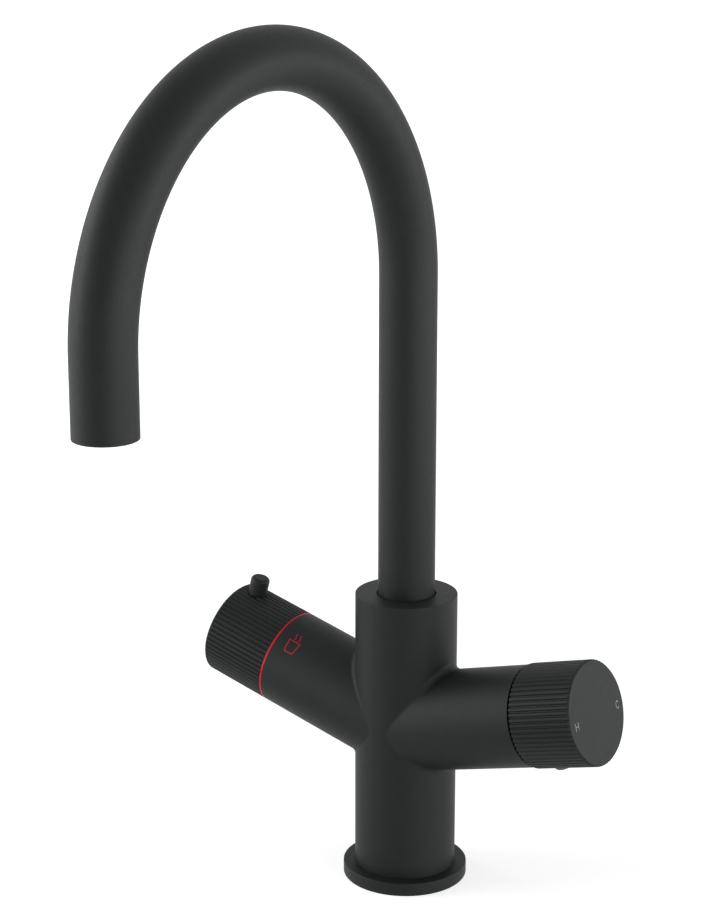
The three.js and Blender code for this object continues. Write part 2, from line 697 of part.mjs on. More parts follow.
const boilingGrubAt = boilingKnobStart + GRUB_INSET;
const boilingGrubHole = () => radial(GRUB_RADIUS + GAP, 0, coverTop, boilingGrubAt, Math.PI);
const buttonHole = onTop(rod(BUTTON_RADIUS + GAP, 0, buttonTop, PLAIN));
const springPocket = onTop(rod(pocketRadius, pocketFloor, buttonTop, PLAIN));
const shankHole = onTop(rod(SHANK_RADIUS + GAP, shankEnd - BUTTON_TRAVEL - GAP, buttonTop, HOLE));
const boilingKnob = knob(
  BOILING_KNOB_RADIUS,
  boilingKnobStart,
  BOILING_KNOB_LENGTH,
  buttonHole,
  boilingGrubHole(),
);
const boilingCarrier = knobCarrier(
  boilingKnobStart,
  BOILING_KNOB_LENGTH,
  springPocket,
  shankHole,
  boilingGrubHole(),
);
const boilingGrub = grubScrew(BOILING_KNOB_RADIUS - KNURL_DEPTH - GRUB_RECESS, boilingGrubAt, Math.PI);
const ringStart = BOILING_ARM_END + LAPPED_GAP;
const boilingRing = sleeve(ARM_RADIUS, ARM_RADIUS - RING_WIDTH, ringStart, ringStart + RING_THICKNESS, FINE);
piece(boilingArm, "boiling_ring", boilingRing, redPlastic());
piece(boilingArm, "boiling_knob", boilingKnob, matteBlack());
piece(boilingArm, "boiling_knob_carrier", boilingCarrier, whitePlastic());
piece(boilingArm, "boiling_grub_screw", boilingGrub, steel());
piece(boilingArm, "safety_button", onTop(safetyButton), matteBlack());
piece(boilingArm, "button_spring", onTop(buttonSpring), steel());

// ---- Spout ----
const slideOuter = spoutBore - RING_CLEARANCE;
const lowerSlideStart = footBottom + LOWER_RING_AT;
const footRings = O_RINGS_AT.map((at) => footBottom + at);
const nippleRing = SPOUT_SEAT - LOWER_NIPPLE_LENGTH / 2;
const washerOuter = spoutBore - GAP;
const hoseStart = footBottom + FOOT_FLOOR + GAP;

// The spout's centre line between two heights. Its parameter counts rings: one to the end of the riser,
// one for each step of the arch and one down to the tip.
class SpoutLine extends THREE.Curve {
  constructor(from, to) {
    super();
    this.from = from;
    this.to = to;
  }

  getPoint(t) {
    const ring = t * (ARCH_STEPS + 2) - 1;
    if (ring <= 0) {
      return new THREE.Vector3(0, 0, THREE.MathUtils.lerp(this.from, ARCH_START, ring + 1));
    }
    if (ring >= ARCH_STEPS) {
      return new THREE.Vector3(0, -spoutReach, THREE.MathUtils.lerp(ARCH_START, this.to, ring - ARCH_STEPS));
    }
    const angle = (Math.PI * ring) / ARCH_STEPS;
    const y = -ARCH_RADIUS * (1 - Math.cos(angle));
    return new THREE.Vector3(0, y, ARCH_START + ARCH_RADIUS * Math.sin(angle));
  }

  getUtoTmapping(u) {
    return u;
  }
}

function spoutPipe(outer, outerSides, inner, innerSides, from, to) {
  const section = new THREE.Shape(circle(outer, outerSides));
  section.holes.push(new THREE.Path(circle(inner, innerSides)));
  return new THREE.ExtrudeGeometry(section, {
    extrudePath: new SpoutLine(from, to),
    steps: ARCH_STEPS + 2,
  });
}

// The foot turns in the column's bore. Its middle bore feeds the hose, the holes round it feed the tube.
function spoutFoot() {
  const floorTop = footBottom + FOOT_FLOOR;
  const spigot = tubeBore - GAP;
  const slideSeat = slideOuter - SLIDE_RING_WIDTH - GAP;
  const nippleEnd = SPOUT_SEAT - LOWER_NIPPLE_LENGTH + GAP;
  const shape = turned([
    [NIPPLE_BORE, nippleEnd],
    [LOWER_NIPPLE_RADIUS, nippleEnd],
    ...groove(LOWER_NIPPLE_RADIUS, nippleBore, SMALL_RING_SECTION, nippleRing),
    [LOWER_NIPPLE_RADIUS, footBottom],
    [footRadius, footBottom],
    [footRadius, lowerSlideStart - GAP],
    [slideSeat, lowerSlideStart - GAP],
    [slideSeat, lowerSlideStart + SLIDE_RING_HEIGHT + GAP],
    [footRadius, lowerSlideStart + SLIDE_RING_HEIGHT + GAP],
    ...footRings.flatMap((height) => groove(footRadius, spoutBore, RING_SECTION, height)),
    [footRadius, footTop],
    [spigot, footTop],
    [spigot, footTop + SPIGOT_LENGTH],
    [spigot - SPIGOT_WALL, footTop + SPIGOT_LENGTH],
    [spigot - SPIGOT_WALL, floorTop],
    [NIPPLE_RADIUS, floorTop],
    [NIPPLE_RADIUS, footTop + SPIGOT_LENGTH],
    [NIPPLE_BORE, footTop + SPIGOT_LENGTH],
  ]);
  const holeRing = (LOWER_NIPPLE_RADIUS + footRadius - STOP_POINT_DEPTH) / 2;
  const holes = around(FOOT_HOLES, () =>
    rod(FOOT_HOLE_RADIUS, footBottom - OVERCUT, floorTop + OVERCUT, HOLE).translate(holeRing, 0, 0),
  );
  return cut(shape, holes, stopSlot());
}

// A slot round the foot's back, as long as the swivel, in which the stop screw's point runs.
function stopSlot() {
  const bottomRadius = footRadius - STOP_POINT_DEPTH - GAP;
  const pointRoom = STOP_POINT_RADIUS + GAP;
  const half = THREE.MathUtils.degToRad(SWIVEL) + Math.asin(pointRoom / bottomRadius);
  const sector = new THREE.Shape();
  sector.absarc(0, 0, footRadius + OVERCUT, Math.PI / 2 - half, Math.PI / 2 + half, false);
  sector.absarc(0, 0, bottomRadius, Math.PI / 2 + half, Math.PI / 2 - half, true);
  const ring = { depth: 2 * pointRoom, bevelEnabled: false, curveSegments: PLAIN };
  return new THREE.ExtrudeGeometry(sector, ring).translate(0, 0, stopHeight - pointRoom);
}

function stopScrew() {
  const tip = footRadius - STOP_POINT_DEPTH;
  const head = COLUMN_RADIUS - GRUB_RECESS;
  const shape = turned(
    [
      [0, tip],
      [STOP_POINT_RADIUS, tip],
      [STOP_POINT_RADIUS, spoutBore + GAP],
      [STOP_SCREW_RADIUS, spoutBore + GAP],
      [STOP_SCREW_RADIUS, head],
      [0, head],
    ],
    HOLE,
  );
  return cut(shape, rod(GRUB_SOCKET_RADIUS, head - GRUB_SOCKET_DEPTH, head + OVERCUT, HEXAGON))
    .rotate([-90, 0, 0])
    .translate([0, 0, stopHeight]);
}

piece(
  tap,
  "spout_tube",
  spoutPipe(SPOUT_RADIUS, TUBE_SIDES, tubeBore, PLAIN, footTop + GAP, SPOUT_TIP),
  matteBlack(),
);
piece(tap, "spout_foot", spoutFoot(), brass());
piece(
  tap,
  "spout_slide_ring_lower",
  sleeve(slideOuter, slideOuter - SLIDE_RING_WIDTH, lowerSlideStart, lowerSlideStart + SLIDE_RING_HEIGHT),
  whitePlastic(),
);
piece(
  tap,
  "spout_slide_ring_upper",
  sleeve(SPOUT_RADIUS + GAP + SLIDE_RING_WIDTH, SPOUT_RADIUS + GAP, upperRingStart, upperRingTop),
  blackPlastic(),
);
piece(tap, "spout_o_ring_lower", oRing(spoutBore, RING_SECTION, footRings[0]), rubber());
piece(tap, "spout_o_ring_upper", oRing(spoutBore, RING_SECTION, footRings[1]), rubber());
piece(tap, "spout_nipple_o_ring", oRing(nippleBore, SMALL_RING_SECTION, nippleRing), rubber());
piece(
  tap,
  "spout_thrust_washer",
  sleeve(washerOuter, washerOuter - WASHER_WIDTH, SPOUT_SEAT + LAPPED_GAP, washerTop),
  whitePlastic(),
);
piece(tap, "spout_stop_screw", stopScrew(), steel());

// ---- Outlet: the aerator sits in the spout's tip, and the boiling water leaves through its middle ----
const onTip = (shape) => shape.translate(0, -spoutReach, SPOUT_TIP);
const housingOuter = tubeBore - GAP;
const housingBore = housingOuter - HOUSING_WALL;
const housingTop = OUTLET_RECESS + HOUSING_LENGTH;
const insertStart = OUTLET_RECESS + HOUSING_LIP + LAPPED_GAP;
const insertTop = insertStart + INSERT_THICKNESS;
const collarStart = insertTop + LAPPED_GAP;
const collarTop = collarStart + NOZZLE_COLLAR;
const housingRing = housingTop - HOUSING_RING_INSET;

const housing = turned(
  [
    [housingBore - HOUSING_LIP, OUTLET_RECESS],
    [housingOuter, OUTLET_RECESS],
    ...groove(housingOuter, tubeBore, SMALL_RING_SECTION, housingRing),
    [housingOuter, housingTop],
    [housingBore, housingTop],
    [housingBore, insertStart - LAPPED_GAP],
    [housingBore - HOUSING_LIP, insertStart - LAPPED_GAP],
  ],
  PLAIN,
);
const jetRing = (NOZZLE_RADIUS + GAP + housingBore) / 2;
const insert = cut(
  onTip(sleeve(housingBore - GAP, NOZZLE_RADIUS + GAP, insertStart, insertTop)),
  around(JETS, () => rod(JET_RADIUS, 0, insertTop + OVERCUT, HEXAGON).translate(jetRing, 0, 0)).map(onTip),
);
const nozzle = turned([
  [NOZZLE_BORE, OUTLET_RECESS],
  [NOZZLE_RADIUS, OUTLET_RECESS],
  [NOZZLE_RADIUS, collarStart],
  [NOZZLE_RADIUS + NOZZLE_COLLAR, collarStart],
  [NOZZLE_RADIUS + NOZZLE_COLLAR, collarTop],
  [NIPPLE_RADIUS, collarTop],
  [NIPPLE_RADIUS, collarTop + NOZZLE_NIPPLE_LENGTH],
  [NOZZLE_BORE, collarTop + NOZZLE_NIPPLE_LENGTH],
]);
const hoseEnd = SPOUT_TIP + collarTop + GAP;

piece(tap, "aerator_housing", onTip(housing), greyPlastic());
piece(tap, "aerator_insert", insert, greyPlastic());
piece(tap, "aerator_o_ring", onTip(oRing(tubeBore, SMALL_RING_SECTION, housingRing)), rubber());
piece(tap, "boiling_nozzle", onTip(nozzle), steel());
piece(
  tap,
  "boiling_hose",
  spoutPipe(HOSE_RADIUS, HOSE_SIDES, HOSE_BORE, HOSE_SIDES, hoseStart, hoseEnd),
  silicone(),
);

export default tap;
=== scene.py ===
import collections
import json
import math

import bmesh
import bpy
import numpy as np
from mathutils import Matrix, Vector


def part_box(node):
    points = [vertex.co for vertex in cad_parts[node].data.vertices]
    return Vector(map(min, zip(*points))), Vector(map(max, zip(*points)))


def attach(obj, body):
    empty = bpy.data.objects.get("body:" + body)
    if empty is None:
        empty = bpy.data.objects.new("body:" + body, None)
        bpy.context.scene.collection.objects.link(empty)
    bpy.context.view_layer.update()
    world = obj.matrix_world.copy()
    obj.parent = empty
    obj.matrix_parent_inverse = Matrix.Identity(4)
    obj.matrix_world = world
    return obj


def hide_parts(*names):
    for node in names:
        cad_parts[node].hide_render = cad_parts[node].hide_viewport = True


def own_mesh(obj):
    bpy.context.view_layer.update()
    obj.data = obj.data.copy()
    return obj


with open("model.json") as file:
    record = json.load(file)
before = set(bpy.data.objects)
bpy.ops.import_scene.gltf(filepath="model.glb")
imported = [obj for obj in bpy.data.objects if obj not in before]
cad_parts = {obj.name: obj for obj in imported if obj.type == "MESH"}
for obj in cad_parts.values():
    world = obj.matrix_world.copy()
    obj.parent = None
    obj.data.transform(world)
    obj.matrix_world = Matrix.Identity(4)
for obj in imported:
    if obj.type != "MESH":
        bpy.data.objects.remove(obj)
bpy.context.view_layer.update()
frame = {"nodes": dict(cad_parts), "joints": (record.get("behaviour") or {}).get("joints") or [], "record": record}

# A matte black boiling water tap. Each piece that shows is rebuilt here with a fine surface, inside the sizes
# that the frame gives, and the pieces inside the tap keep their own meshes. Metres, +Z up.
MM = 0.001

# ---- Sizes of the fine forms ----
CLEARANCE = 0.3 * MM  # round the pieces that fit in a hollow
SEAT_GAP = 0.1 * MM  # under a washer, and inside an O-ring in its groove
OVERCUT = 1 * MM  # by which a cutter passes the surface that it opens
THIN = 0.05 * MM  # of a slice that holds one ring of a node's corners
FILLET = 2.75 * MM  # between the column and an arm
COLUMN_EDGE = 0.35 * MM
ARM_EDGE = 0.1 * MM
SCREW_EDGE = 0.25 * MM
BORE_EDGE = 0.25 * MM
FLANGE_EDGE = 0.6 * MM
FINE_EDGE = 0.12 * MM
GASKET_EDGE = 0.3 * MM
BUTTON_EDGE = 1.6 * MM
COVER_EDGE = 0.5 * MM
TIP_EDGE = 0.35 * MM

KNURL_GROOVES = 62
KNURL_DEPTH = 0.63 * MM
KNURL_MOUTH = 1.3 * MM
KNURL_FLOOR = 0.4 * MM
KNURL_EDGE = 0.08 * MM
KNOB_START_EDGE = 0.08 * MM  # of the bevel next to the arm
KNOB_END_WALL = 1.6 * MM
KNOB_HOLE_START = 17 * MM  # of the holes in a knob's wall, from the arm's axis: inside the bore
BUTTON_HEAD_START = 19 * MM  # from the arm's axis: beyond the button's shoulder

FLANGE_BOLTS = {"flange_bolt_left": "flange_screw_left", "flange_bolt_right": "flange_screw_right"}
SCREW_HOLE_RADIUS = 1.8 * MM  # of the flange screws
SCREW_HEAD_HEIGHT = 2.7 * MM
SCREW_NECK_RADIUS = 1.5 * MM  # under a head, and at a stop screw's point
STOP_HOLE = (0.5, 1.2)  # where the stop screw's hole starts and ends, in radii of the column
GRUB_POINT_LENGTH = 1 * MM
HEXAGON_REACH = 1.4 * MM  # from the middle of a screw's socket to its corners
HEXAGON_DEPTH = 1.6 * MM

INLET_OFFSET = 6.8 * MM
INLET_TAP = {"radius": 4.5 * MM, "depth": 10 * MM, "thread": 0.5 * MM, "pitch": 1 * MM}
STUD_OFFSET = 12.3 * MM
STUD_TAP = {"radius": 2.5 * MM, "depth": 12 * MM, "thread": 0.45 * MM, "pitch": 1 * MM}
THREAD_STEEPNESS = 2.4  # of a tooth's flanks, in depths of thread over one pitch
THREAD_FLAT = 0.15  # cut off the tooth, in depths of thread
THREAD_LEAD_IN = 1.3  # of the chamfer at the mouth, in depths of thread

SPRING_COILS = 4.5
HOUSING_LIP = 0.6 * MM
JETS = 12
JET_RADIUS = 0.85 * MM
JET_RING = 6.4 * MM
NOZZLE_COLLAR_RADIUS = 4.6 * MM

PRINT_HEIGHT = 0.03 * MM  # of the paint above the surface
PRINT_ROOT = 0.02 * MM  # under the surface
PRINT_STEP = 0.25 * MM
LETTER_HEIGHT = 3.5 * MM
LETTER_WIDTH = 2.6 * MM
LETTER_STROKE = 0.34 * MM
HOT_AT = (-16.9 * MM, -0.85 * MM)  # on the knob's face: rightwards, then up
COLD_AT = (17.2 * MM, -1.65 * MM)
COLD_OPENING = 34  # degrees, from the middle of the C to either end
CUP_STROKE = 0.38 * MM
CUP_RIM = 5.8 * MM
CUP_BASE = 4.5 * MM
CUP_HEIGHT = 6.1 * MM
CUP_CORNER = 1.1 * MM
CUP_FROM_RING = 8.6 * MM  # from the red ring to the cup's middle
CUP_MIDDLE_ANGLE = math.radians(-46.4)  # from the arm's top, towards the front
STEAM_STROKE = 0.34 * MM
STEAM_WAVE = 0.35 * MM
STEAM_HEIGHT = 3.4 * MM
STEAM_GAP = 0.5 * MM  # above the rim
STEAM_OFFSET = 1.1 * MM

# ---- Facets ----
SADDLE_STEPS = 192
BAND_STEPS = 12
FILLET_STEPS = 10
ROUND = 128
MEDIUM_ROUND = 96
SMALL_ROUND = 48
JET_ROUND = 24
WIRE_ROUND = 16
ARCH_STEPS = 144
THREAD_STEPS = 10  # along one pitch
SPRING_STEPS = 32  # round one coil
LETTER_POINTS = 33
STEAM_POINTS = 25
ARC_STEP = math.radians(18)
WELD = 2e-7
SHORTEST_NORMAL = 1e-6  # keeps a missing normal from being divided by zero

# ---- The frame's own sizes ----
Span = collections.namedtuple("Span", "inner outer start end")


def unit(vectors):
    return vectors / np.linalg.norm(vectors, axis=-1, keepdims=True)


def corners_of(node):
    """A node's vertices as an array."""
    vertices = frame["nodes"][node].data.vertices
    points = np.zeros(3 * len(vertices))
    vertices.foreach_get("co", points)
    return points.reshape(-1, 3)


class Axis:
    """An axis with its own frame. A place is (up, across, out), with out along the axis."""

    def __init__(self, origin, out, up):
        self.origin = np.array(origin, float)
        self.out = unit(np.array(out, float))
        self.up = unit(np.array(up, float))
        self.across = np.cross(self.out, self.up)
        self.basis = np.array([self.up, self.across, self.out])

    def inside(self, points):
        return (points - self.origin) @ self.basis.T

    def placed(self, points):
        return self.origin + points @ self.basis

    def turned(self, directions):
        return directions @ self.basis

    def span(self, node, low=-math.inf, high=math.inf, beyond=0):
        """How far from the axis and along it a node reaches, over its corners between two distances
        along the axis and beyond a radius."""
        local = self.inside(corners_of(node))
        radii = np.hypot(local[:, 0], local[:, 1])
        chosen = (local[:, 2] > low) & (local[:, 2] < high) & (radii > beyond)
        radii, along = radii[chosen], local[chosen, 2]
        return Span(radii.min(), radii.max(), along.min(), along.max())


def arm_axis(joint_name):
    """An arm's axis, pointing outwards, from the joint of its knob."""
    joint = next(joint for joint in frame["joints"] if joint["name"] == joint_name)
    out = np.array(joint["axis"], float)
    out *= math.copysign(1, out[2])
    return Axis(joint["pos_m"], out, (-out[2] * math.copysign(1, out[0]), 0, abs(out[0])))


def middle(node):
    return np.unique(corners_of(node).round(7), axis=0).mean(axis=0)


def side_axis(arm, node):
    """The axis of a round node that points straight out from an arm's axis."""
    up, across, out = arm.inside(middle(node))
    outward = np.array([up, across, 0]) / math.hypot(up, across)
    return Axis(arm.placed(np.array([0, 0, out])), arm.turned(outward), arm.out)


upright = Axis((0, 0, 0), (0, 0, 1), (1, 0, 0))
mixer = arm_axis("mixer_turn")
boiling = arm_axis("boiling_turn")
column = Span(0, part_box("body_casting")[1].y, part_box("body_casting")[0].z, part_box("body_casting")[1].z)


# ---- Meshes with exact normals ----
def right_of(heading):
    return np.array([heading[1], -heading[0]])


def rounded(*corners):
    """The runs of a profile of (radius, height, rounding) corners, walked with the solid on its left.

    A run is its points and their normals. A corner without rounding ends one run and starts the next."""
    points = np.array([corner[:2] for corner in corners], float)
    roundings = [corner[2] if len(corner) > 2 else 0 for corner in corners]
    headings = unit(np.diff(points, axis=0))
    runs = []
    run = [(points[0], right_of(headings[0]))]
    for here, rounding, before, after in zip(points[1:], roundings[1:], headings, headings[1:]):
        turn = math.atan2(before[0] * after[1] - before[1] * after[0], before @ after)
        if not rounding:
            run.append((here, right_of(before)))
            runs.append(run)
            run = [(here, right_of(after))]
            continue
        side = math.copysign(1, turn)
        middle_point = here - rounding * math.tan(abs(turn) / 2) * before - side * rounding * right_of(before)
        first = math.atan2(*right_of(before)[::-1])
        for angle in np.linspace(first, first + turn, max(2, math.ceil(abs(turn) / ARC_STEP)) + 1):
            normal = np.array([math.cos(angle), math.sin(angle)])
            run.append((middle_point + side * rounding * normal, normal))
    run.append((points[-1], right_of(headings[-1])))
    runs.append(run)
    return [tuple(np.array(part) for part in zip(*each)) for each in runs]


def circle(steps):
    return 2 * math.pi * np.arange(steps) / steps


def revolved(profile, angles):
    """Rings of a profile's (radius, height) pairs about the axis, as rows of (up, across, out)."""
    radius, height = profile[:, 0, None], profile[:, 1, None]
    return np.stack(
        [radius * np.cos(angles), radius * np.sin(angles), height + 0 * angles],
        axis=-1,
    )


class Shell:
    """A mesh in the making, whose face corners carry the exact normals of the surface."""

    def __init__(self):
        self.points, self.faces, self.normals = [], [], []

    def face(self, points, normals):
        """Adds one face, turned to face along its normals."""
        start = len(self.points)
        order = list(range(len(points)))
        area = sum(np.cross(points[i - 1] - points[0], points[i] - points[0]) for i in range(2, len(points)))
        if area @ np.sum(normals, axis=0) < 0:
            order.reverse()
        self.points += list(points)
        self.faces.append([start + i for i in order])
        self.normals += [normals[i] for i in order]

    def patch(self, points, normals, closed=True):
        """Adds rows of points as quads. A closed patch joins the last column to the first."""
        if closed:
            points = np.concatenate([points, points[:, :1]], axis=1)
            normals = np.concatenate([normals, normals[:, :1]], axis=1)
        rows, columns = points.shape[:2]
        index = np.arange(rows * columns).reshape(rows, columns)
        corners = (index[:-1, :-1], index[:-1, 1:], index[1:, 1:], index[1:, :-1])
        quads = np.stack(corners, axis=-1).reshape(-1, 4)
        flat, flat_normals = points.reshape(-1, 3), normals.reshape(-1, 3)
        corner = flat[quads]
        facing = np.cross(corner[:, 2] - corner[:, 0], corner[:, 3] - corner[:, 1])
        backwards = np.einsum("ij,ij->i", facing, flat_normals[quads].sum(axis=1)) < 0
        quads[backwards] = quads[backwards][:, ::-1]
        start = len(self.points)
        self.points += list(flat)
        self.faces += (quads + start).tolist()
        self.normals += list(flat_normals[quads].reshape(-1, 3))

    def turn(self, axis, runs, angles):
        """Adds a profile turned about an axis."""
        for points, normals in runs:
            self.patch(axis.placed(revolved(points, angles)), axis.turned(revolved(normals, angles)))

    def inverted(self):
        """Turns the normals round, because the wall of a hole faces into the hole."""
        self.normals = [-normal for normal in self.normals]
        return self

    def mesh(self, name):
        mesh = bpy.data.meshes.new(name)
        mesh.from_pydata([tuple(point) for point in self.points], [], self.faces)
        exact = mesh.attributes.new("exact", "FLOAT_VECTOR", "CORNER")
        exact.data.foreach_set("vector", np.array(self.normals, np.float32).ravel())
        welding = bmesh.new()
        welding.from_mesh(mesh)
        bmesh.ops.remove_doubles(welding, verts=welding.verts, dist=WELD)
        bmesh.ops.dissolve_degenerate(welding, edges=welding.edges, dist=WELD)
        welding.to_mesh(mesh)
        welding.free()
        return mesh


def linked(name, mesh):
    made = bpy.data.objects.new(name, mesh)
    bpy.context.scene.collection.objects.link(made)
    return made


def cut_away(solid, tools):
    """Cuts the tools' solids out of an object."""
    cutters = [linked("tool", tool.inverted().mesh("tool")) for tool in tools]
    for cutter in cutters:
        cutting = solid.modifiers.new("hole", "BOOLEAN")
        cutting.operation = "DIFFERENCE"
        cutting.solver = "EXACT"
        cutting.object = cutter
    scene_graph = bpy.context.evaluated_depsgraph_get()
    shape = bpy.data.meshes.new_from_object(
        solid.evaluated_get(scene_graph), preserve_all_data_layers=True, depsgraph=scene_graph
    )
    solid.modifiers.clear()
    solid.data = shape
    for cutter in cutters:
        bpy.data.objects.remove(cutter)


def piece(name, shell, body, slot, stands_for=(), tools=(), material=None):
    """Makes a shell into a piece on its body, with its slot's finish or one of its own."""
    made = linked(name, shell.mesh(name))
    if tools:
        cut_away(made, tools)
    mesh = made.data
    mesh.shade_smooth()
    exact = np.zeros(3 * len(mesh.loops), np.float32)
    mesh.attributes["exact"].data.foreach_get("vector", exact)
    exact = exact.reshape(-1, 3)
    exact /= np.maximum(np.linalg.norm(exact, axis=1), SHORTEST_NORMAL)[:, None]
    mesh.normals_split_custom_set([tuple(normal) for normal in exact])
    mesh.attributes.remove(mesh.attributes["exact"])
    mesh.materials.clear()
    mesh.materials.append(material or slot_finishes[slot])
    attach(made, body)
    if stands_for:
        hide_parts(*stands_for)
    return made


def turned_piece(name, node, axis, corners, body, slot, steps=MEDIUM_ROUND, tools=(), material=None):
    """Makes a profile's corners, turned about an axis, into the piece that stands for a node."""
    shell = Shell()
    shell.turn(axis, rounded(*corners), circle(steps))
    piece(name, shell, body, slot, [node], tools, material)


# ---- Finishes ----
NOISE_RANGE = (0.3, 0.7)  # where most of a noise's values lie


def linear(red, green, blue):
    """A display colour of 0 to 255 as light, with the display standard's own numbers."""
    scaled = [channel / 255 for channel in (red, green, blue)]
    return [c / 12.92 if c <= 0.04045 else ((c + 0.055) / 1.055) ** 2.4 for c in scaled]


def shader_node(tree, kind, **values):
    """Adds a node with its inputs set. An input's name has _ for each of its spaces."""
    made = tree.nodes.new("ShaderNode" + kind)
    for name, value in values.items():
        made.inputs[name.replace("_", " ")].default_value = value
    return made


class Finish:
    """A material whose colour, roughness and relief follow noise fixed to the object."""

    def __init__(self, name, specular, metallic=0):
        self.material = bpy.data.materials.new(name)
        self.material.use_nodes = True
        self.tree = self.material.node_tree
        self.shader = self.tree.nodes["Principled BSDF"]
        self.shader.inputs["Metallic"].default_value = metallic
        self.shader.inputs["Specular IOR Level"].default_value = specular
        self.place = shader_node(self.tree, "TexCoord").outputs["Object"]

    def link(self, output, target):
        self.tree.links.new(output, target)

    def noise(self, grain, detail=2, stretch=(1, 1, 1)):
        """Noise with features of about that size in metres, drawn out along an axis by a small stretch."""
        mapping = shader_node(self.tree, "Mapping", Scale=stretch)
        texture = shader_node(self.tree, "TexNoise", Scale=1 / grain, Detail=detail)
        self.link(self.place, mapping.inputs["Vector"])
        self.link(mapping.outputs["Vector"], texture.inputs["Vector"])
        return texture.outputs["Fac"]

    def colour(self, noise, dark, light):
        ramp = shader_node(self.tree, "ValToRGB")
        for element, position, shade in zip(ramp.color_ramp.elements, NOISE_RANGE, (dark, light)):
            element.position = position
            element.color = [*linear(*shade), 1]
        self.link(noise, ramp.inputs["Fac"])
        self.link(ramp.outputs["Color"], self.shader.inputs["Base Color"])

    def roughness(self, noise, low, high):
        first, last = NOISE_RANGE
        spread = shader_node(self.tree, "MapRange", From_Min=first, From_Max=last, To_Min=low, To_Max=high)
        self.link(noise, spread.inputs["Value"])
        self.link(spread.outputs["Result"], self.shader.inputs["Roughness"])

    def relief(self, noise, height):
        bump = shader_node(self.tree, "Bump", Distance=height, Strength=1)
        self.link(noise, bump.inputs["Height"])
        self.link(bump.outputs["Normal"], self.shader.inputs["Normal"])


def finished(
    name, specular, shades, patches, roughness, blotches, relief, grain, metallic=0, stretch=(1, 1, 1)
):
    """A material with two shades in patches, roughness in blotches, and a relief of some grain. Patches,
    blotches and grain are a size and a detail."""
    finish = Finish(name, specular, metallic)
    finish.colour(finish.noise(*patches), *shades)
    finish.roughness(finish.noise(*blotches), *roughness)
    finish.relief(finish.noise(*grain, stretch), relief)
    return finish.material


PAINT = {
    "specular": 0.26,
    "patches": (1.5 * MM, 2),
    "blotches": (0.4 * MM, 2),
    "relief": 0.002 * MM,
    "grain": (0.2 * MM, 2),
}
MOULDED = {
    "specular": 0.45,
    "patches": (4 * MM, 3),
    "roughness": (0.42, 0.55),
    "blotches": (0.5 * MM, 2),
    "relief": 0.006 * MM,
    "grain": (0.15 * MM, 2),
}
MACHINED = {  # fine marks that run round the vertical axis, under a duller skin in places
    "metallic": 1,
    "specular": 0.5,
    "patches": (3 * MM, 4),
    "roughness": (0.24, 0.42),
    "blotches": (1.2 * MM, 3),
    "relief": 0.004 * MM,
    "grain": (0.12 * MM, 1),
    "stretch": (0.05, 0.05, 1),
}
coating = finished(  # powder coating: a fine even grain, with a faint unevenness over some millimetres
    "matte_black_coating",
    specular=0.2,
    shades=((19, 23, 21), (22, 26, 24)),
    patches=(6 * MM, 3),
    roughness=(0.51, 0.59),
    blotches=(0.8 * MM, 2),
    relief=0.004 * MM,
    grain=(0.25 * MM, 2),
)
red_trim = finished("red_trim_paint", shades=((198, 14, 32), (213, 21, 40)), roughness=(0.4, 0.48), **PAINT)
grey_print = finished("grey_print", shades=((134, 136, 137), (147, 149, 150)), roughness=(0.5, 0.58), **PAINT)
seal_rubber = finished(
    "black_rubber",
    specular=0.3,
    shades=((20, 20, 20), (30, 30, 30)),
    patches=(2 * MM, 3),
    roughness=(0.7, 0.85),
    blotches=(0.6 * MM, 2),
    relief=0.01 * MM,
    grain=(0.1 * MM, 3),
)
brass = finished("machined_brass", shades=((176, 142, 84), (206, 174, 112)), **MACHINED)
steel = finished("machined_steel", shades=((168, 170, 172), (204, 205, 206)), **MACHINED)
white_plastic = finished("white_plastic", shades=((222, 220, 213), (233, 231, 225)), **MOULDED)
grey_plastic = finished("grey_plastic", shades=((158, 161, 162), (176, 179, 180)), **MOULDED)
black_plastic = finished("black_plastic", shades=((24, 25, 25), (34, 35, 35)), **MOULDED)
ceramic = finished("white_ceramic", shades=((228, 226, 218), (240, 239, 233)), **MOULDED)
clear_hose = finished(
    "clear_silicone",
    specular=0.5,
    shades=((205, 206, 200), (224, 225, 219)),
    patches=(5 * MM, 2),
    roughness=(0.35, 0.5),
    blotches=(1 * MM, 2),
    relief=0.01 * MM,
    grain=(0.3 * MM, 2),
)
clear_hose.node_tree.nodes["Principled BSDF"].inputs["Transmission Weight"].default_value = 0.4
painted_sheen_cover = finished(  # the screw cover's plastic: its grey-blue shades are a painted reflection of the pale floor on a black plug
    "satin_plastic_painted_sheen",
    shades=((72, 77, 85), (83, 88, 97)),
    roughness=(0.26, 0.34),
    **(PAINT | {"specular": 0.6, "grain": (0.15 * MM, 2)}),
)
slot_finishes = {
    "black_coating": coating,
    "red_trim": red_trim,
    "brass_parts": brass,
    "steel_parts": steel,
    "seals": seal_rubber,
    "white_parts": white_plastic,
    "grey_parts": grey_plastic,
    "black_parts": black_plastic,
    "discs": ceramic,
    "hose": clear_hose,
}
for part in frame["record"]["subparts"]:
    frame["nodes"][part["node"]].material_slots[0].material = slot_finishes[part["material_slot"]]


# ---- Body: a column and two arms, with a fillet rolled along each saddle ----
def round_hole(axis, radius, start, end, steps=SMALL_ROUND):
    """The solid of a drilling along an axis."""
    hole = Shell()
    hole.turn(axis, rounded((0, start), (radius, start), (radius, end), (0, end)), circle(steps))
    return hole


def flange_screw_axis(node):
    """A flange screw's axis, pointing down."""
    across = math.copysign(upright.span(node).outer + upright.span(node).inner, middle(node)[0]) / 2
    return Axis((across, 0, 0), (0, 0, -1), (1, 0, 0))


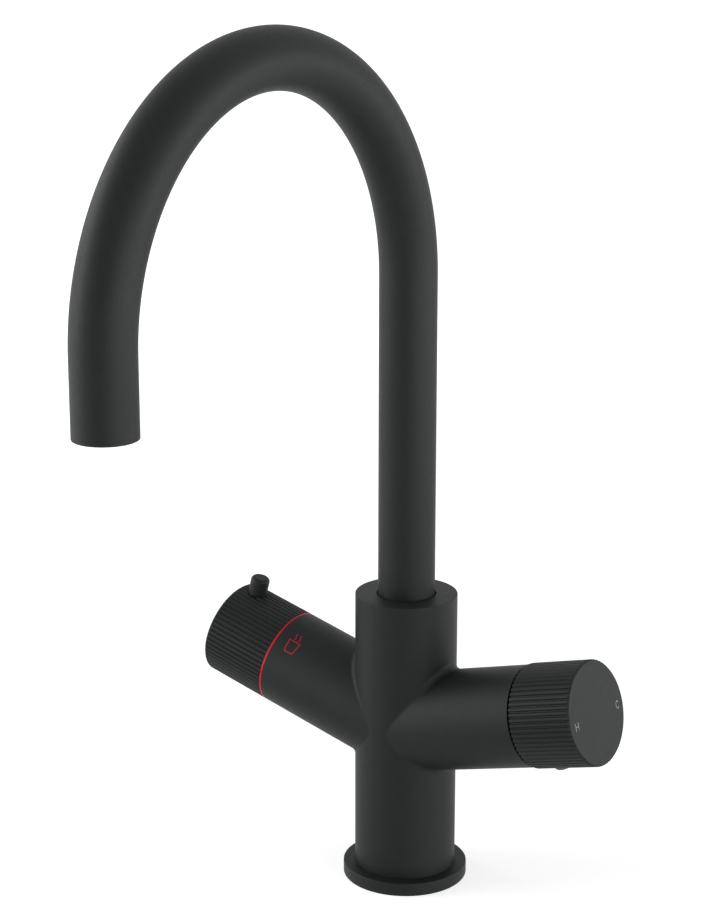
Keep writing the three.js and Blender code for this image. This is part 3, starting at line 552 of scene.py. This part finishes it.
class Saddle:
    """Where an arm meets the column. Its angles start at the arm's top and pass the arm's across side."""

    def __init__(self, arm, arm_radius):
        self.angles = circle(SADDLE_STEPS)
        self.outward = arm.turned(revolved(np.array([[1.0, 0.0]]), self.angles)[0])
        from_arm = (arm_radius + FILLET) * self.outward
        from_column = column.outer + FILLET
        x = math.copysign(1, arm.out[0]) * np.sqrt(from_column**2 - from_arm[:, 1] ** 2)
        out = (x - from_arm[:, 0]) / arm.out[0]
        self.ball = arm.origin + out[:, None] * arm.out + from_arm
        level = self.ball * [1, 1, 0]
        self.column_normal = level / from_column
        self.on_arm = self.ball - FILLET * self.outward
        self.on_column = self.column_normal * column.outer + self.ball * [0, 0, 1]

    def fillet(self, shell):
        cosine = np.einsum("ij,ij->i", self.outward, self.column_normal)
        swing = np.arccos(np.clip(cosine, -1, 1))[:, None]
        turned = np.linspace(0, 1, FILLET_STEPS + 1)[:, None, None] * swing
        normals = np.sin(swing - turned) * self.outward + np.sin(turned) * self.column_normal
        normals /= np.sin(swing)
        shell.patch(self.ball - FILLET * normals, normals)


def add_arm(shell, arm, socket_floor):
    """One arm of the body, from its saddle to its socket's floor."""
    end = arm.span("body_casting").end
    rim = arm.span("body_casting", low=end - THIN)
    saddle = Saddle(arm, rim.outer)
    saddle.fillet(shell)
    profile = rounded(
        (rim.outer, socket_floor),
        (rim.outer, end, ARM_EDGE),
        (rim.inner, end, ARM_EDGE),
        (rim.inner, socket_floor),
        (0, socket_floor),
    )
    points, normals = profile[0]
    rows = arm.placed(revolved(points, saddle.angles))
    rows[0] = saddle.on_arm
    shell.patch(rows, arm.turned(revolved(normals, saddle.angles)))
    shell.turn(arm, profile[1:], saddle.angles)
    return saddle


def body_shell():
    """The column and its arms. The column's wall runs from each saddle up to the top and down to the base,
    and in two bands between the saddles."""
    shell = Shell()
    mixer_floor = mixer.span("mixer_cartridge_body").start - CLEARANCE
    boiling_floor = boiling.span("boiling_cartridge_body").start - CLEARANCE
    saddles = [add_arm(shell, mixer, mixer_floor), add_arm(shell, boiling, boiling_floor)]
    pocket = upright.span("inlet_block")
    bore = upright.span("spout_foot").outer + CLEARANCE
    foot_start = upright.span("spout_foot").start
    nipple = upright.span("spout_foot", high=foot_start + THIN).outer + CLEARANCE
    seat = upright.span("spout_thrust_washer").start - SEAT_GAP
    slide = upright.span("spout_slide_ring_upper")
    top = rounded(
        (column.outer, seat),
        (column.outer, column.end, COLUMN_EDGE),
        (bore, column.end, BORE_EDGE),
        (bore, slide.end + CLEARANCE),
        (slide.outer + CLEARANCE, slide.end + CLEARANCE),
        (slide.outer + CLEARANCE, slide.start - CLEARANCE),
        (bore, slide.start - CLEARANCE),
        (bore, seat),
        (nipple, seat),
        (nipple, foot_start - CLEARANCE),
        (0, foot_start - CLEARANCE),
    )
    bottom = rounded(
        (0, pocket.end + CLEARANCE),
        (pocket.outer + CLEARANCE, pocket.end + CLEARANCE),
        (pocket.outer + CLEARANCE, column.start, FINE_EDGE),
        (column.outer, column.start, FINE_EDGE),
        (column.outer, seat),
    )
    top_ring = top[0][0][1]
    bottom_ring = bottom[-1][0][-2]

    quarter = SADDLE_STEPS // 4
    angles = []
    for saddle in saddles:
        upper = np.arange(-quarter, quarter + 1)
        lower = 2 * quarter - upper
        around = np.arctan2(saddle.on_column[upper, 1], saddle.on_column[upper, 0])
        if saddle.on_column[0, 0] < 0:
            around = np.mod(around, 2 * math.pi)
        if around[0] > around[-1]:
            upper, lower, around = upper[::-1], lower[::-1], around[::-1]
        normals = revolved(np.array([[1.0, 0.0]]), around)
        loop_normals = np.repeat(normals, 2, axis=0)
        at_top = revolved(top_ring[None], around)
        at_bottom = revolved(bottom_ring[None], around)
        shell.patch(np.concatenate([saddle.on_column[upper][None], at_top]), loop_normals, closed=False)
        shell.patch(np.concatenate([at_bottom, saddle.on_column[lower][None]]), loop_normals, closed=False)
        angles.append(around)
    level = saddles[0].on_column[quarter, 2]
    right, left = angles
    bands = [(right[-1], left[0]), (left[-1], right[0] + 2 * math.pi)]
    ring = []
    for half, (first, last) in zip((right, left), bands):
        band = np.linspace(first, last, BAND_STEPS + 1)
        rows = np.array([bottom_ring, [column.outer, level], top_ring])
        normals = np.repeat(revolved(np.array([[1.0, 0.0]]), band), 3, axis=0)
        shell.patch(revolved(rows, band), normals, closed=False)
        ring += [half, band[1:-1]]
    ring = np.concatenate(ring)
    points, normals = top[0]
    shell.turn(upright, [(points[1:], normals[1:])] + top[1:], ring)
    points, normals = bottom[-1]
    shell.turn(upright, bottom[:-1] + [(points[:-1], normals[:-1])], ring)
    return shell


def body_tools():
    """The holes for the two flange screws and for the screw that stops the spout's swivel."""
    tools = []
    for node in FLANGE_BOLTS.values():
        axis = flange_screw_axis(node)
        tools.append(round_hole(axis, SCREW_HOLE_RADIUS, axis.span(node).start - CLEARANCE, 0))
    start, end = (radii * column.outer for radii in STOP_HOLE)
    radius = stop_screw_axis.span("spout_stop_screw").outer + CLEARANCE
    tools.append(round_hole(stop_screw_axis, radius, start, end))
    return tools


stop_screw_axis = Axis((0, 0, middle("spout_stop_screw")[2]), (0, 1, 0), (0, 0, 1))
piece("body", body_shell(), "root", "black_coating", ["body_casting"], body_tools())


# ---- Screws with a hexagon socket ----
def hexagon(axis, end):
    """The solid of a screw's socket."""
    corners = circle(6)
    ends = np.array([[HEXAGON_REACH, end - HEXAGON_DEPTH], [HEXAGON_REACH, end + OVERCUT]])
    rings = axis.placed(revolved(ends, corners))
    shell = Shell()
    for side in range(6):
        facing = corners[side] + math.pi / 6
        outward = axis.turned(np.array([math.cos(facing), math.sin(facing), 0]))
        wall = rings[:, [side, (side + 1) % 6]]
        shell.patch(wall, np.broadcast_to(outward, wall.shape), closed=False)
    shell.face(rings[0], [-axis.out] * 6)
    shell.face(rings[1], [axis.out] * 6)
    return shell


def screw(name, node, axis, body, shoulder):
    """A screw whose head or thread has the node's own radius from the shoulder on, with a narrower neck."""
    reach = axis.span(node)
    corners = [
        (0, reach.start),
        (SCREW_NECK_RADIUS, reach.start, FINE_EDGE),
        (SCREW_NECK_RADIUS, shoulder),
        (reach.outer, shoulder),
        (reach.outer, reach.end, SCREW_EDGE),
        (0, reach.end),
    ]
    socket = hexagon(axis, reach.end)
    turned_piece(name, node, axis, corners, body, "steel_parts", SMALL_ROUND, [socket])


for name, node in FLANGE_BOLTS.items():
    bolt_axis = flange_screw_axis(node)
    screw(name, node, bolt_axis, "root", bolt_axis.span(node).end - SCREW_HEAD_HEIGHT)
spout_bore = upright.span("spout_foot").outer + CLEARANCE
screw("stop_screw", "spout_stop_screw", stop_screw_axis, "root", spout_bore + CLEARANCE)
grub_axis = side_axis(boiling, "boiling_grub_screw")
grub = grub_axis.span("boiling_grub_screw")
screw("grub_screw", "boiling_grub_screw", grub_axis, "boiling_handle", grub.start + GRUB_POINT_LENGTH)


# ---- Base: the flange, its gasket and the block for the hoses ----
def flange():
    reach, seal = upright.span("base_flange"), upright.span("base_gasket")
    corners = [
        (reach.inner, reach.start),
        (seal.inner - CLEARANCE, reach.start),
        (seal.inner - CLEARANCE, seal.end + CLEARANCE),
        (seal.outer + CLEARANCE, seal.end + CLEARANCE),
        (seal.outer + CLEARANCE, reach.start),
        (reach.outer, reach.start, FLANGE_EDGE),
        (reach.outer, reach.end, FLANGE_EDGE),
        (reach.inner, reach.end),
        (reach.inner, reach.start),
    ]
    tools = []
    for node in FLANGE_BOLTS.values():
        axis = flange_screw_axis(node)
        head = axis.span(node)
        above = -2 * reach.end  # because the screws point down
        step = head.end - SCREW_HEAD_HEIGHT - CLEARANCE
        profile = rounded(
            (0, above),
            (SCREW_HOLE_RADIUS, above),
            (SCREW_HOLE_RADIUS, step),
            (head.outer + CLEARANCE, step),
            (head.outer + CLEARANCE, reach.end),
            (0, reach.end),
        )
        stepped_hole = Shell()
        stepped_hole.turn(axis, profile, circle(SMALL_ROUND))
        tools.append(stepped_hole)
    turned_piece("flange", "base_flange", upright, corners, "root", "black_coating", ROUND, tools)


def gasket():
    reach = upright.span("base_gasket")
    half_way = (reach.start + reach.end) / 2
    corners = [
        (reach.inner, half_way),
        (reach.inner, reach.start, GASKET_EDGE),
        (reach.outer, reach.start, GASKET_EDGE),
        (reach.outer, reach.end, GASKET_EDGE),
        (reach.inner, reach.end, GASKET_EDGE),
        (reach.inner, half_way),
    ]
    turned_piece("gasket", "base_gasket", upright, corners, "root", "seals", ROUND)


def threaded_hole(x, y, radius, depth, thread, pitch):
    """The solid of a tapped hole that runs up from the underside."""
    axis = Axis((x, y, 0), (0, 0, 1), (1, 0, 0))
    angles = circle(SMALL_ROUND)
    step = pitch / THREAD_STEPS
    # The rings are half a step off the underside, so that none lies in it.
    along = np.arange(step / 2 - OVERCUT, depth - pitch, step)[:, None]
    phase = np.mod(along / pitch - angles / (2 * math.pi), 1)
    tooth = np.clip(THREAD_STEEPNESS * np.abs(phase - 0.5) - THREAD_FLAT, 0, 1)
    chamfer = radius + THREAD_LEAD_IN * thread - np.maximum(along, 0)
    radii = np.maximum(radius + thread * tooth, chamfer)
    rows = np.stack([radii * np.cos(angles), radii * np.sin(angles), along + 0 * angles], axis=-1)
    run_out = revolved(np.array([[radius, depth - pitch], [radius, depth]]), angles)
    rows = np.concatenate([rows, run_out])
    turned_by = np.roll(rows, -1, axis=1) - np.roll(rows, 1, axis=1)
    climbed = np.gradient(rows, axis=0)
    shell = Shell()
    shell.patch(axis.placed(rows), axis.turned(unit(np.cross(turned_by, climbed))))
    shell.face(axis.placed(rows[0]), [-axis.out] * len(angles))
    shell.face(axis.placed(rows[-1]), [axis.out] * len(angles))
    return shell


def groove(radius, ring):
    """The corners of an O-ring's groove, in a profile that runs along the axis."""
    floor = ring.inner - SEAT_GAP
    start, end = ring.start - CLEARANCE, ring.end + CLEARANCE
    return [(radius, start), (floor, start), (floor, end), (radius, end)]


def hose_block():
    reach = upright.span("inlet_block")
    corners = [
        (0, reach.start),
        (reach.outer, reach.start, SCREW_EDGE),
        *groove(reach.outer, upright.span("inlet_block_o_ring")),
        (reach.outer, reach.end),
        (0, reach.end),
    ]
    tools = []
    for x, y in ((1, 1), (1, -1), (-1, -1)):
        tools.append(threaded_hole(x * INLET_OFFSET, y * INLET_OFFSET, **INLET_TAP))
    for side in (-1, 1):
        tools.append(threaded_hole(0, side * STUD_OFFSET, **STUD_TAP))
    turned_piece("hose_block", "inlet_block", upright, corners, "root", "brass_parts", ROUND, tools)


flange()
gasket()
hose_block()


# ---- Knobs ----
def knurl(radius):
    """One pitch of the straight knurl on a land of that radius, unrolled: its points, as distances round and
    heights, and their normals."""
    pitch = 2 * math.pi * radius / KNURL_GROOVES
    ((points, normals),) = rounded(
        (pitch / 2, 0),
        (KNURL_MOUTH / 2, 0, KNURL_EDGE),
        (KNURL_FLOOR / 2, -KNURL_DEPTH, KNURL_EDGE),
        (-KNURL_FLOOR / 2, -KNURL_DEPTH, KNURL_EDGE),
        (-KNURL_MOUTH / 2, 0, KNURL_EDGE),
        (-pitch / 2, 0),
    )
    return points[:0:-1], normals[:0:-1]


def knob(name, node, arm, body, tools):
    reach = arm.span(node)
    face_radius = arm.span(node, low=reach.end - THIN).outer
    bore = arm.span(node, high=reach.start + THIN).inner
    points, normals = knurl(reach.outer)
    angles = (circle(KNURL_GROOVES)[:, None] + points[:, 0] / reach.outer).ravel()
    radii = np.tile(reach.outer + points[:, 1], KNURL_GROOVES)
    around, outwards = np.tile(normals, (KNURL_GROOVES, 1)).T
    radial = revolved(np.array([[1.0, 0.0]]), angles)[0]
    sideways = np.cross([0, 0, 1], radial)

    def ring(ring_radii, along):
        local = np.reshape(ring_radii, (-1, 1)) * radial
        local[:, 2] = along
        return arm.placed(local)

    inner = ring(bore, reach.start)
    start = ring(radii - KNOB_START_EDGE, reach.start)
    edge = ring(radii, reach.start + KNOB_START_EDGE)
    chamfer = ring(radii, reach.end - (radii - face_radius))
    wall = arm.turned(outwards[:, None] * radial + around[:, None] * sideways)
    bevel = (wall - arm.out) / math.sqrt(2)
    flat = np.broadcast_to(-arm.out, wall.shape)
    shell = Shell()
    for first, last, facing in ((edge, chamfer, wall), (start, edge, bevel), (inner, start, flat)):
        shell.patch(np.array([first, last]), np.array([facing, facing]))
    chamfer_corner = (reach.outer, reach.end - (reach.outer - face_radius))
    ((points, normals),) = rounded(chamfer_corner, (face_radius, reach.end, FINE_EDGE), (0, reach.end))
    rows = arm.placed(revolved(points, angles))
    rows[0] = chamfer
    shell.patch(rows, arm.turned(revolved(normals, angles)))
    floor = reach.end - KNOB_END_WALL
    shell.turn(arm, rounded((0, floor), (bore, floor), (bore, reach.start)), angles)
    piece(name, shell, body, "black_coating", [node], tools)


def screw_plug():
    """The cover over the mixer knob's grub screw."""
    corners = [
        (0, cover.start),
        (cover.outer, cover.start),
        (cover.outer, cover.end, COVER_EDGE),
        (0, cover.end),
    ]
    turned_piece(
        "screw_plug",
        "mixer_screw_cover",
        cover_axis,
        corners,
        "mixer_handle",
        "black_coating",
        # a finish whose grey-blue shades are a painted reflection on the black cover
        material=painted_sheen_cover,
    )


cover_axis = side_axis(mixer, "mixer_screw_cover")
cover = cover_axis.span("mixer_screw_cover")
cover_hole = round_hole(cover_axis, cover.outer + CLEARANCE, KNOB_HOLE_START, cover.end + OVERCUT)
knob("mixer_cap", "mixer_knob", mixer, "mixer_handle", [cover_hole])
screw_plug()

button_axis = side_axis(boiling, "safety_button")
button = button_axis.span("safety_button")
button_radius = button_axis.span("safety_button", low=BUTTON_HEAD_START).outer
boiling_tools = [
    round_hole(button_axis, button_radius + CLEARANCE, KNOB_HOLE_START, button.end, MEDIUM_ROUND),
    round_hole(grub_axis, grub.outer + CLEARANCE, KNOB_HOLE_START, button.end),
]
knob("boiling_cap", "boiling_knob", boiling, "boiling_handle", boiling_tools)


def push_button():
    shoulder = button_axis.span("safety_button", beyond=button_radius + THIN)
    shank = button_axis.span("safety_button", high=button.start + THIN).outer
    corners = [
        (0, button.start),
        (shank, button.start),
        (shank, shoulder.start),
        (shoulder.outer, shoulder.start),
        (shoulder.outer, shoulder.end),
        (button_radius, shoulder.end),
        (button_radius, button.end, BUTTON_EDGE),
        (0, button.end),
    ]
    turned_piece("push_button", "safety_button", button_axis, corners, "button", "black_coating")


def spring():
    """The coil spring round the button's shank."""
    reach = button_axis.span("button_spring")
    wire = (reach.outer - reach.inner) / 2
    coil = (reach.outer + reach.inner) / 2
    length = reach.end - reach.start
    along = np.linspace(0, 1, int(SPRING_COILS * SPRING_STEPS) + 1)
    whole_turn = 2 * math.pi * SPRING_COILS
    angle = whole_turn * along
    outward = np.stack([np.cos(angle), np.sin(angle), 0 * angle], axis=-1)
    heading = whole_turn * coil * np.stack([-np.sin(angle), np.cos(angle), 0 * angle], axis=-1)
    heading[:, 2] = length - 2 * wire
    heading = unit(heading)
    sideways = np.cross(heading, outward)
    turns = circle(WIRE_ROUND)[:, None]
    normals = np.cos(turns) * outward[:, None] + np.sin(turns) * sideways[:, None]
    centres = coil * outward
    centres[:, 2] = reach.start + wire + along * (length - 2 * wire)
    points = button_axis.placed(centres[:, None] + wire * normals)
    shell = Shell()
    shell.patch(points, button_axis.turned(normals))
    shell.face(points[0], [button_axis.turned(-heading[0])] * WIRE_ROUND)
    shell.face(points[-1], [button_axis.turned(heading[-1])] * WIRE_ROUND)
    made = piece("press_spring", shell, "boiling_handle", "steel_parts", ["button_spring"])
    foot = button_axis.placed(np.array([0, 0, reach.start]))
    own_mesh(made)


def red_ring():
    reach = boiling.span("boiling_ring")
    corners = [
        (reach.inner, reach.start),
        (reach.outer, reach.start, FINE_EDGE),
        (reach.outer, reach.end, FINE_EDGE),
        (reach.inner, reach.end),
        (reach.inner, reach.start),
    ]
    turned_piece("red_ring", "boiling_ring", boiling, corners, "root", "red_trim", ROUND)


push_button()
spring()
red_ring()


# ---- Spout: a riser, a half circle and a short leg ----
def tip_height():
    corners = corners_of("spout_tube")
    return corners[corners[:, 1] < corners[:, 1].min() / 2][:, 2].min()


def spout():
    """Makes the spout, and returns the axis of its outlet."""
    low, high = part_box("spout_tube")
    outer = high.x
    inner = upright.span("spout_tube", high=low.z + THIN).inner
    reach = -low.y - outer
    arch = reach / 2
    springing = high.z - arch - outer
    tip = tip_height()
    swing = np.linspace(0, math.pi, ARCH_STEPS + 1)[:, None]
    angles = circle(ROUND)
    across, outward = np.cos(angles) + 0 * swing, np.sin(angles)
    normals = np.stack([across, outward * np.cos(swing), outward * np.sin(swing)], axis=-1)
    centres = np.stack([0 * swing, arch * (np.cos(swing) - 1), springing + arch * np.sin(swing)], axis=-1)
    shell = Shell()
    shell.patch(centres + outer * normals, normals)
    shell.patch(centres + inner * normals, -normals)
    riser = Axis((0, 0, springing), (0, 0, -1), (1, 0, 0))
    leg = Axis((0, -reach, springing), (0, 0, -1), (1, 0, 0))
    for axis, end, edge in ((riser, springing - low.z, FINE_EDGE), (leg, springing - tip, TIP_EDGE)):
        profile = rounded((outer, 0), (outer, end, edge), (inner, end, edge), (inner, 0))
        shell.turn(axis, profile, angles)
    piece("swan_neck", shell, "spout", "black_coating", ["spout_tube"])
    return Axis((0, -reach, tip), (0, 0, -1), (1, 0, 0))


tip_axis = spout()


# ---- Outlet ----
def outlet_housing():
    reach = tip_axis.span("aerator_housing")
    bore = tip_axis.span("aerator_housing", high=reach.start + THIN).inner
    corners = [
        (bore, reach.start),
        (reach.outer, reach.start),
        *groove(reach.outer, tip_axis.span("aerator_o_ring")),
        (reach.outer, reach.end, FINE_EDGE),
        (reach.inner, reach.end, FINE_EDGE),
        (reach.inner, reach.end - HOUSING_LIP),
        (bore, reach.end - HOUSING_LIP),
        (bore, reach.start),
    ]
    turned_piece("outlet_housing", "aerator_housing", tip_axis, corners, "spout", "grey_parts")


def outlet_insert():
    reach = tip_axis.span("aerator_insert")
    corners = [
        (reach.inner, reach.start),
        (reach.outer, reach.start),
        (reach.outer, reach.end, FINE_EDGE),
        (reach.inner, reach.end, FINE_EDGE),
        (reach.inner, reach.start),
    ]
    jets = []
    for angle in circle(JETS):
        centre = tip_axis.placed(JET_RING * np.array([math.cos(angle), math.sin(angle), 0]))
        jet_axis = Axis(centre, tip_axis.out, tip_axis.up)
        start, end = reach.start - OVERCUT, reach.end + OVERCUT
        jets.append(round_hole(jet_axis, JET_RADIUS, start, end, JET_ROUND))
    turned_piece("outlet_insert", "aerator_insert", tip_axis, corners, "spout", "grey_parts", tools=jets)


def outlet_nozzle():
    reach = tip_axis.span("boiling_nozzle")
    collar = tip_axis.span("boiling_nozzle", beyond=NOZZLE_COLLAR_RADIUS - THIN)
    mouth = tip_axis.span("boiling_nozzle", low=reach.end - THIN)
    nipple = tip_axis.span("boiling_nozzle", high=reach.start + THIN)
    corners = [
        (reach.inner, reach.start),
        (nipple.outer, reach.start),
        (nipple.outer, collar.start),
        (collar.outer, collar.start),
        (collar.outer, collar.end),
        (mouth.outer, collar.end),
        (mouth.outer, reach.end, SCREW_EDGE),
        (reach.inner, reach.end, SCREW_EDGE),
        (reach.inner, reach.start),
    ]
    turned_piece("outlet_nozzle", "boiling_nozzle", tip_axis, corners, "spout", "steel_parts", SMALL_ROUND)


outlet_housing()
outlet_insert()
outlet_nozzle()


# ---- Printed marks: generic letters for hot and cold, and a plain steaming cup ----
def stroke(shell, line, width, place):
    """Adds a painted line along flat points. place gives the solid places and the normals of flat points."""
    line = np.array(line, float)
    heading = unit(np.gradient(line, axis=0))
    side = np.stack([-heading[:, 1], heading[:, 0]], axis=1) * width / 2
    edges = np.stack([line - side, line + side], axis=1)
    top, normals = place(edges, PRINT_HEIGHT)
    bottom, _ = place(edges, -PRINT_ROOT)
    shell.patch(top, normals, closed=False)
    shell.patch(bottom, -normals, closed=False)
    middle_line = place(line[:, None], 0)[0]
    for edge in (0, 1):
        outward = top[:, edge] - place(line, PRINT_HEIGHT)[0]
        wall = np.stack([top[:, edge], bottom[:, edge]], axis=1)
        shell.patch(wall, np.repeat(unit(outward)[:, None], 2, axis=1), closed=False)
    for end, beyond in ((0, 1), (-1, -2)):
        outward = unit(middle_line[end, 0] - middle_line[beyond, 0])
        cap = np.array([top[end], bottom[end]])
        shell.patch(cap, np.broadcast_to(outward, cap.shape), closed=False)


def sampled(corners, corner_radius=0):
    """Points at small steps along a line with its corners rounded."""
    runs = rounded(*[(*corner, corner_radius) for corner in corners])
    points = np.concatenate([points for points, _ in runs])
    lengths = np.concatenate([[0], np.cumsum(np.linalg.norm(np.diff(points, axis=0), axis=1))])
    at = np.linspace(0, lengths[-1], max(2, round(lengths[-1] / PRINT_STEP)) + 1)
    return np.stack([np.interp(at, lengths, points[:, i]) for i in (0, 1)], axis=1)


def knob_letters():
    reach = mixer.span("mixer_knob")

    def place(flat, height):
        local = np.stack([flat[..., 1], -flat[..., 0], np.full(flat.shape[:-1], reach.end + height)], axis=-1)
        return mixer.placed(local), np.broadcast_to(mixer.out, local.shape)

    half_width, half_height = (LETTER_WIDTH - LETTER_STROKE) / 2, LETTER_HEIGHT / 2
    x, y = HOT_AT
    letter = Shell()
    for side in (-1, 1):
        stem = [(x + side * half_width, y + end * half_height) for end in (-1, 1)]
        stroke(letter, stem, LETTER_STROKE, place)
    inside = half_width - LETTER_STROKE / 2
    stroke(letter, [(x - inside, y), (x + inside, y)], LETTER_STROKE, place)
    piece("letter_hot", letter, "mixer_handle", "grey_parts", material=grey_print)

    x, y = COLD_AT
    letter = Shell()
    sweep = np.radians(np.linspace(COLD_OPENING, 360 - COLD_OPENING, LETTER_POINTS))
    bow_height = half_height - LETTER_STROKE / 2
    bow = [(x + half_width * math.cos(a), y + bow_height * math.sin(a)) for a in sweep]
    stroke(letter, bow, LETTER_STROKE, place)
    piece("letter_cold", letter, "mixer_handle", "grey_parts", material=grey_print)


def steaming_cup():
    ring = boiling.span("boiling_ring")
    end = boiling.span("body_casting").end
    arm_radius = boiling.span("body_casting", low=end - THIN).outer
    middle_out = ring.start - CUP_FROM_RING

    def place(flat, height):
        """Flat points read rightwards and up from the cup's middle, as seen from the front."""
        angle = CUP_MIDDLE_ANGLE + flat[..., 1] / arm_radius
        normal = np.stack([np.cos(angle), np.sin(angle), 0 * angle], axis=-1)
        local = (arm_radius + height) * normal
        local[..., 2] = middle_out - flat[..., 0]
        return boiling.placed(local), boiling.turned(normal)

    half = CUP_HEIGHT / 2
    cup = Shell()
    side_walls = [(-CUP_RIM / 2, half), (-CUP_BASE / 2, -half), (CUP_BASE / 2, -half), (CUP_RIM / 2, half)]
    stroke(cup, sampled(side_walls, CUP_CORNER), CUP_STROKE, place)
    inner = CUP_RIM / 2 - CUP_STROKE
    stroke(cup, sampled([(-inner, half - CUP_STROKE), (inner, half - CUP_STROKE)]), CUP_STROKE, place)
    rise = np.linspace(0, 1, STEAM_POINTS)
    height = half + STEAM_GAP + STEAM_HEIGHT * rise
    for x in (-STEAM_OFFSET, STEAM_OFFSET):
        line = np.stack([x + STEAM_WAVE * np.sin(2 * math.pi * rise), height], axis=1)
        stroke(cup, line, STEAM_STROKE, place)
    piece("cup_mark", cup, "root", "red_trim")


knob_letters()
steaming_cup()


# ---- Studio: a plain pale floor and soft light ----
FLOOR_SIZE = 12
FLOOR_DROP = 0.02 * MM
FLOOR_GLOW = 0.66  # of the floor near the tap, for the camera and in reflections, on top of the lamps' light
FLOOR_FADE = (0.25, 1.3)  # how far from the tap the glow starts to grow, and where it is full
AMBIENT = 0.17
SOFTBOX_AIM = np.array([0, -0.06, 0.17])
SOFTBOX_DISTANCE = 1.8
SOFTBOX_SIZE = (0.8, 0.65)
COOL_WHITE = (0.92, 0.94, 1)


def seen_directly(tree):
    """1 for the rays that show the backdrop: the camera's, glossy and transmitted ones."""
    path = shader_node(tree, "LightPath")
    seen = path.outputs["Is Camera Ray"]
    for ray in ("Is Glossy Ray", "Is Transmission Ray"):
        either = shader_node(tree, "Math")
        either.operation = "MAXIMUM"
        tree.links.new(seen, either.inputs[0])
        tree.links.new(path.outputs[ray], either.inputs[1])
        seen = either.outputs[0]
    return seen


def pale_floor():
    mesh = bpy.data.meshes.new("floor")
    half = FLOOR_SIZE / 2
    corners = [(x, y, -FLOOR_DROP) for x, y in ((-half, -half), (half, -half), (half, half), (-half, half))]
    mesh.from_pydata(corners, [], [(0, 1, 2, 3)])
    floor = linked("floor", mesh)
    finish = Finish("pale_floor", specular=0.2)
    finish.colour(finish.noise(grain=0.4), dark=(236, 236, 236), light=(240, 240, 240))
    finish.roughness(finish.noise(grain=0.02), low=0.75, high=0.85)
    away = shader_node(finish.tree, "VectorMath")
    away.operation = "LENGTH"
    finish.link(finish.place, away.inputs[0])
    near, far = FLOOR_FADE
    glow = shader_node(finish.tree, "MapRange", From_Min=near, From_Max=far, To_Min=FLOOR_GLOW, To_Max=1)
    glow.interpolation_type = "SMOOTHSTEP"
    finish.link(away.outputs["Value"], glow.inputs["Value"])
    shown = shader_node(finish.tree, "Math")
    shown.operation = "MULTIPLY"
    finish.link(glow.outputs["Result"], shown.inputs[0])
    finish.link(seen_directly(finish.tree), shown.inputs[1])
    finish.shader.inputs["Emission Color"].default_value = (1, 1, 1, 1)
    finish.link(shown.outputs["Value"], finish.shader.inputs["Emission Strength"])
    mesh.materials.append(finish.material)


def white_world():
    world = bpy.data.worlds.new("studio")
    world.use_nodes = True
    bpy.context.scene.world = world
    sky = world.node_tree
    level = shader_node(sky, "MapRange", To_Min=AMBIENT, To_Max=1)
    sky.links.new(seen_directly(sky), level.inputs["Value"])
    sky.links.new(level.outputs["Result"], sky.nodes["Background"].inputs["Strength"])
    sky.nodes["Background"].inputs["Color"].default_value = (1, 1, 1, 1)


def softbox(name, azimuth, elevation, power, colour=(1, 1, 1)):
    """A soft light of some watts on the tap, from angles in degrees. Azimuth 0 is the front, 90 the right."""
    lamp = bpy.data.lights.new(name, "AREA")
    lamp.shape = "RECTANGLE"
    lamp.size, lamp.size_y = SOFTBOX_SIZE
    lamp.energy = power
    lamp.color = colour
    holder = bpy.data.objects.new(name, lamp)
    bpy.context.scene.collection.objects.link(holder)
    a, e = math.radians(azimuth), math.radians(elevation)
    away = np.array([math.sin(a) * math.cos(e), -math.cos(a) * math.cos(e), math.sin(e)])
    holder.location = SOFTBOX_AIM + SOFTBOX_DISTANCE * away
    holder.rotation_euler = (math.pi / 2 - e, 0, a)


pale_floor()
white_world()
softbox("front_left_box", -25, 4, 2.9)
softbox("left_box", -55, 4, 9.6)
softbox("high_left_box", -55, 24, 7.4)
softbox("back_left_box", -85, 24, 6.2, COOL_WHITE)
softbox("front_right_box", 70, 4, 9.5)
softbox("right_box", 95, 4, 10.2)
softbox("back_right_box", 125, 4, 10)

# ---- Camera: where the photograph was taken from ----
PHOTO_HEIGHT = 910  # pixels, the frame's long side
FOCAL_PIXELS = 2257.15
SENSOR = 36
AIM_HEIGHT = 157.5 * MM
VIEW_AZIMUTH = math.radians(35.018)
VIEW_ELEVATION = math.radians(14.968)
VIEW_DISTANCE = 0.98497
VIEW_SIDEWAYS = -0.02347
VIEW_RAISED = 0.03616

turn, lift = VIEW_AZIMUTH, VIEW_ELEVATION
back = np.array([math.sin(turn) * math.cos(lift), -math.cos(turn) * math.cos(lift), math.sin(lift)])
right_hand = np.array([math.cos(turn), math.sin(turn), 0])
overhead = np.cross(back, right_hand)
camera = bpy.data.objects.new("camera", bpy.data.cameras.new("camera"))
camera.data.sensor_width = SENSOR
camera.data.lens = SENSOR * FOCAL_PIXELS / PHOTO_HEIGHT
camera.location = (
    np.array([0, 0, AIM_HEIGHT]) + VIEW_DISTANCE * back + VIEW_SIDEWAYS * right_hand + VIEW_RAISED * overhead
)
camera.rotation_euler = (math.pi / 2 - lift, 0, turn)
bpy.context.scene.collection.objects.link(camera)
bpy.context.scene.camera = camera
bpy.context.scene.view_settings.view_transform = "Standard"
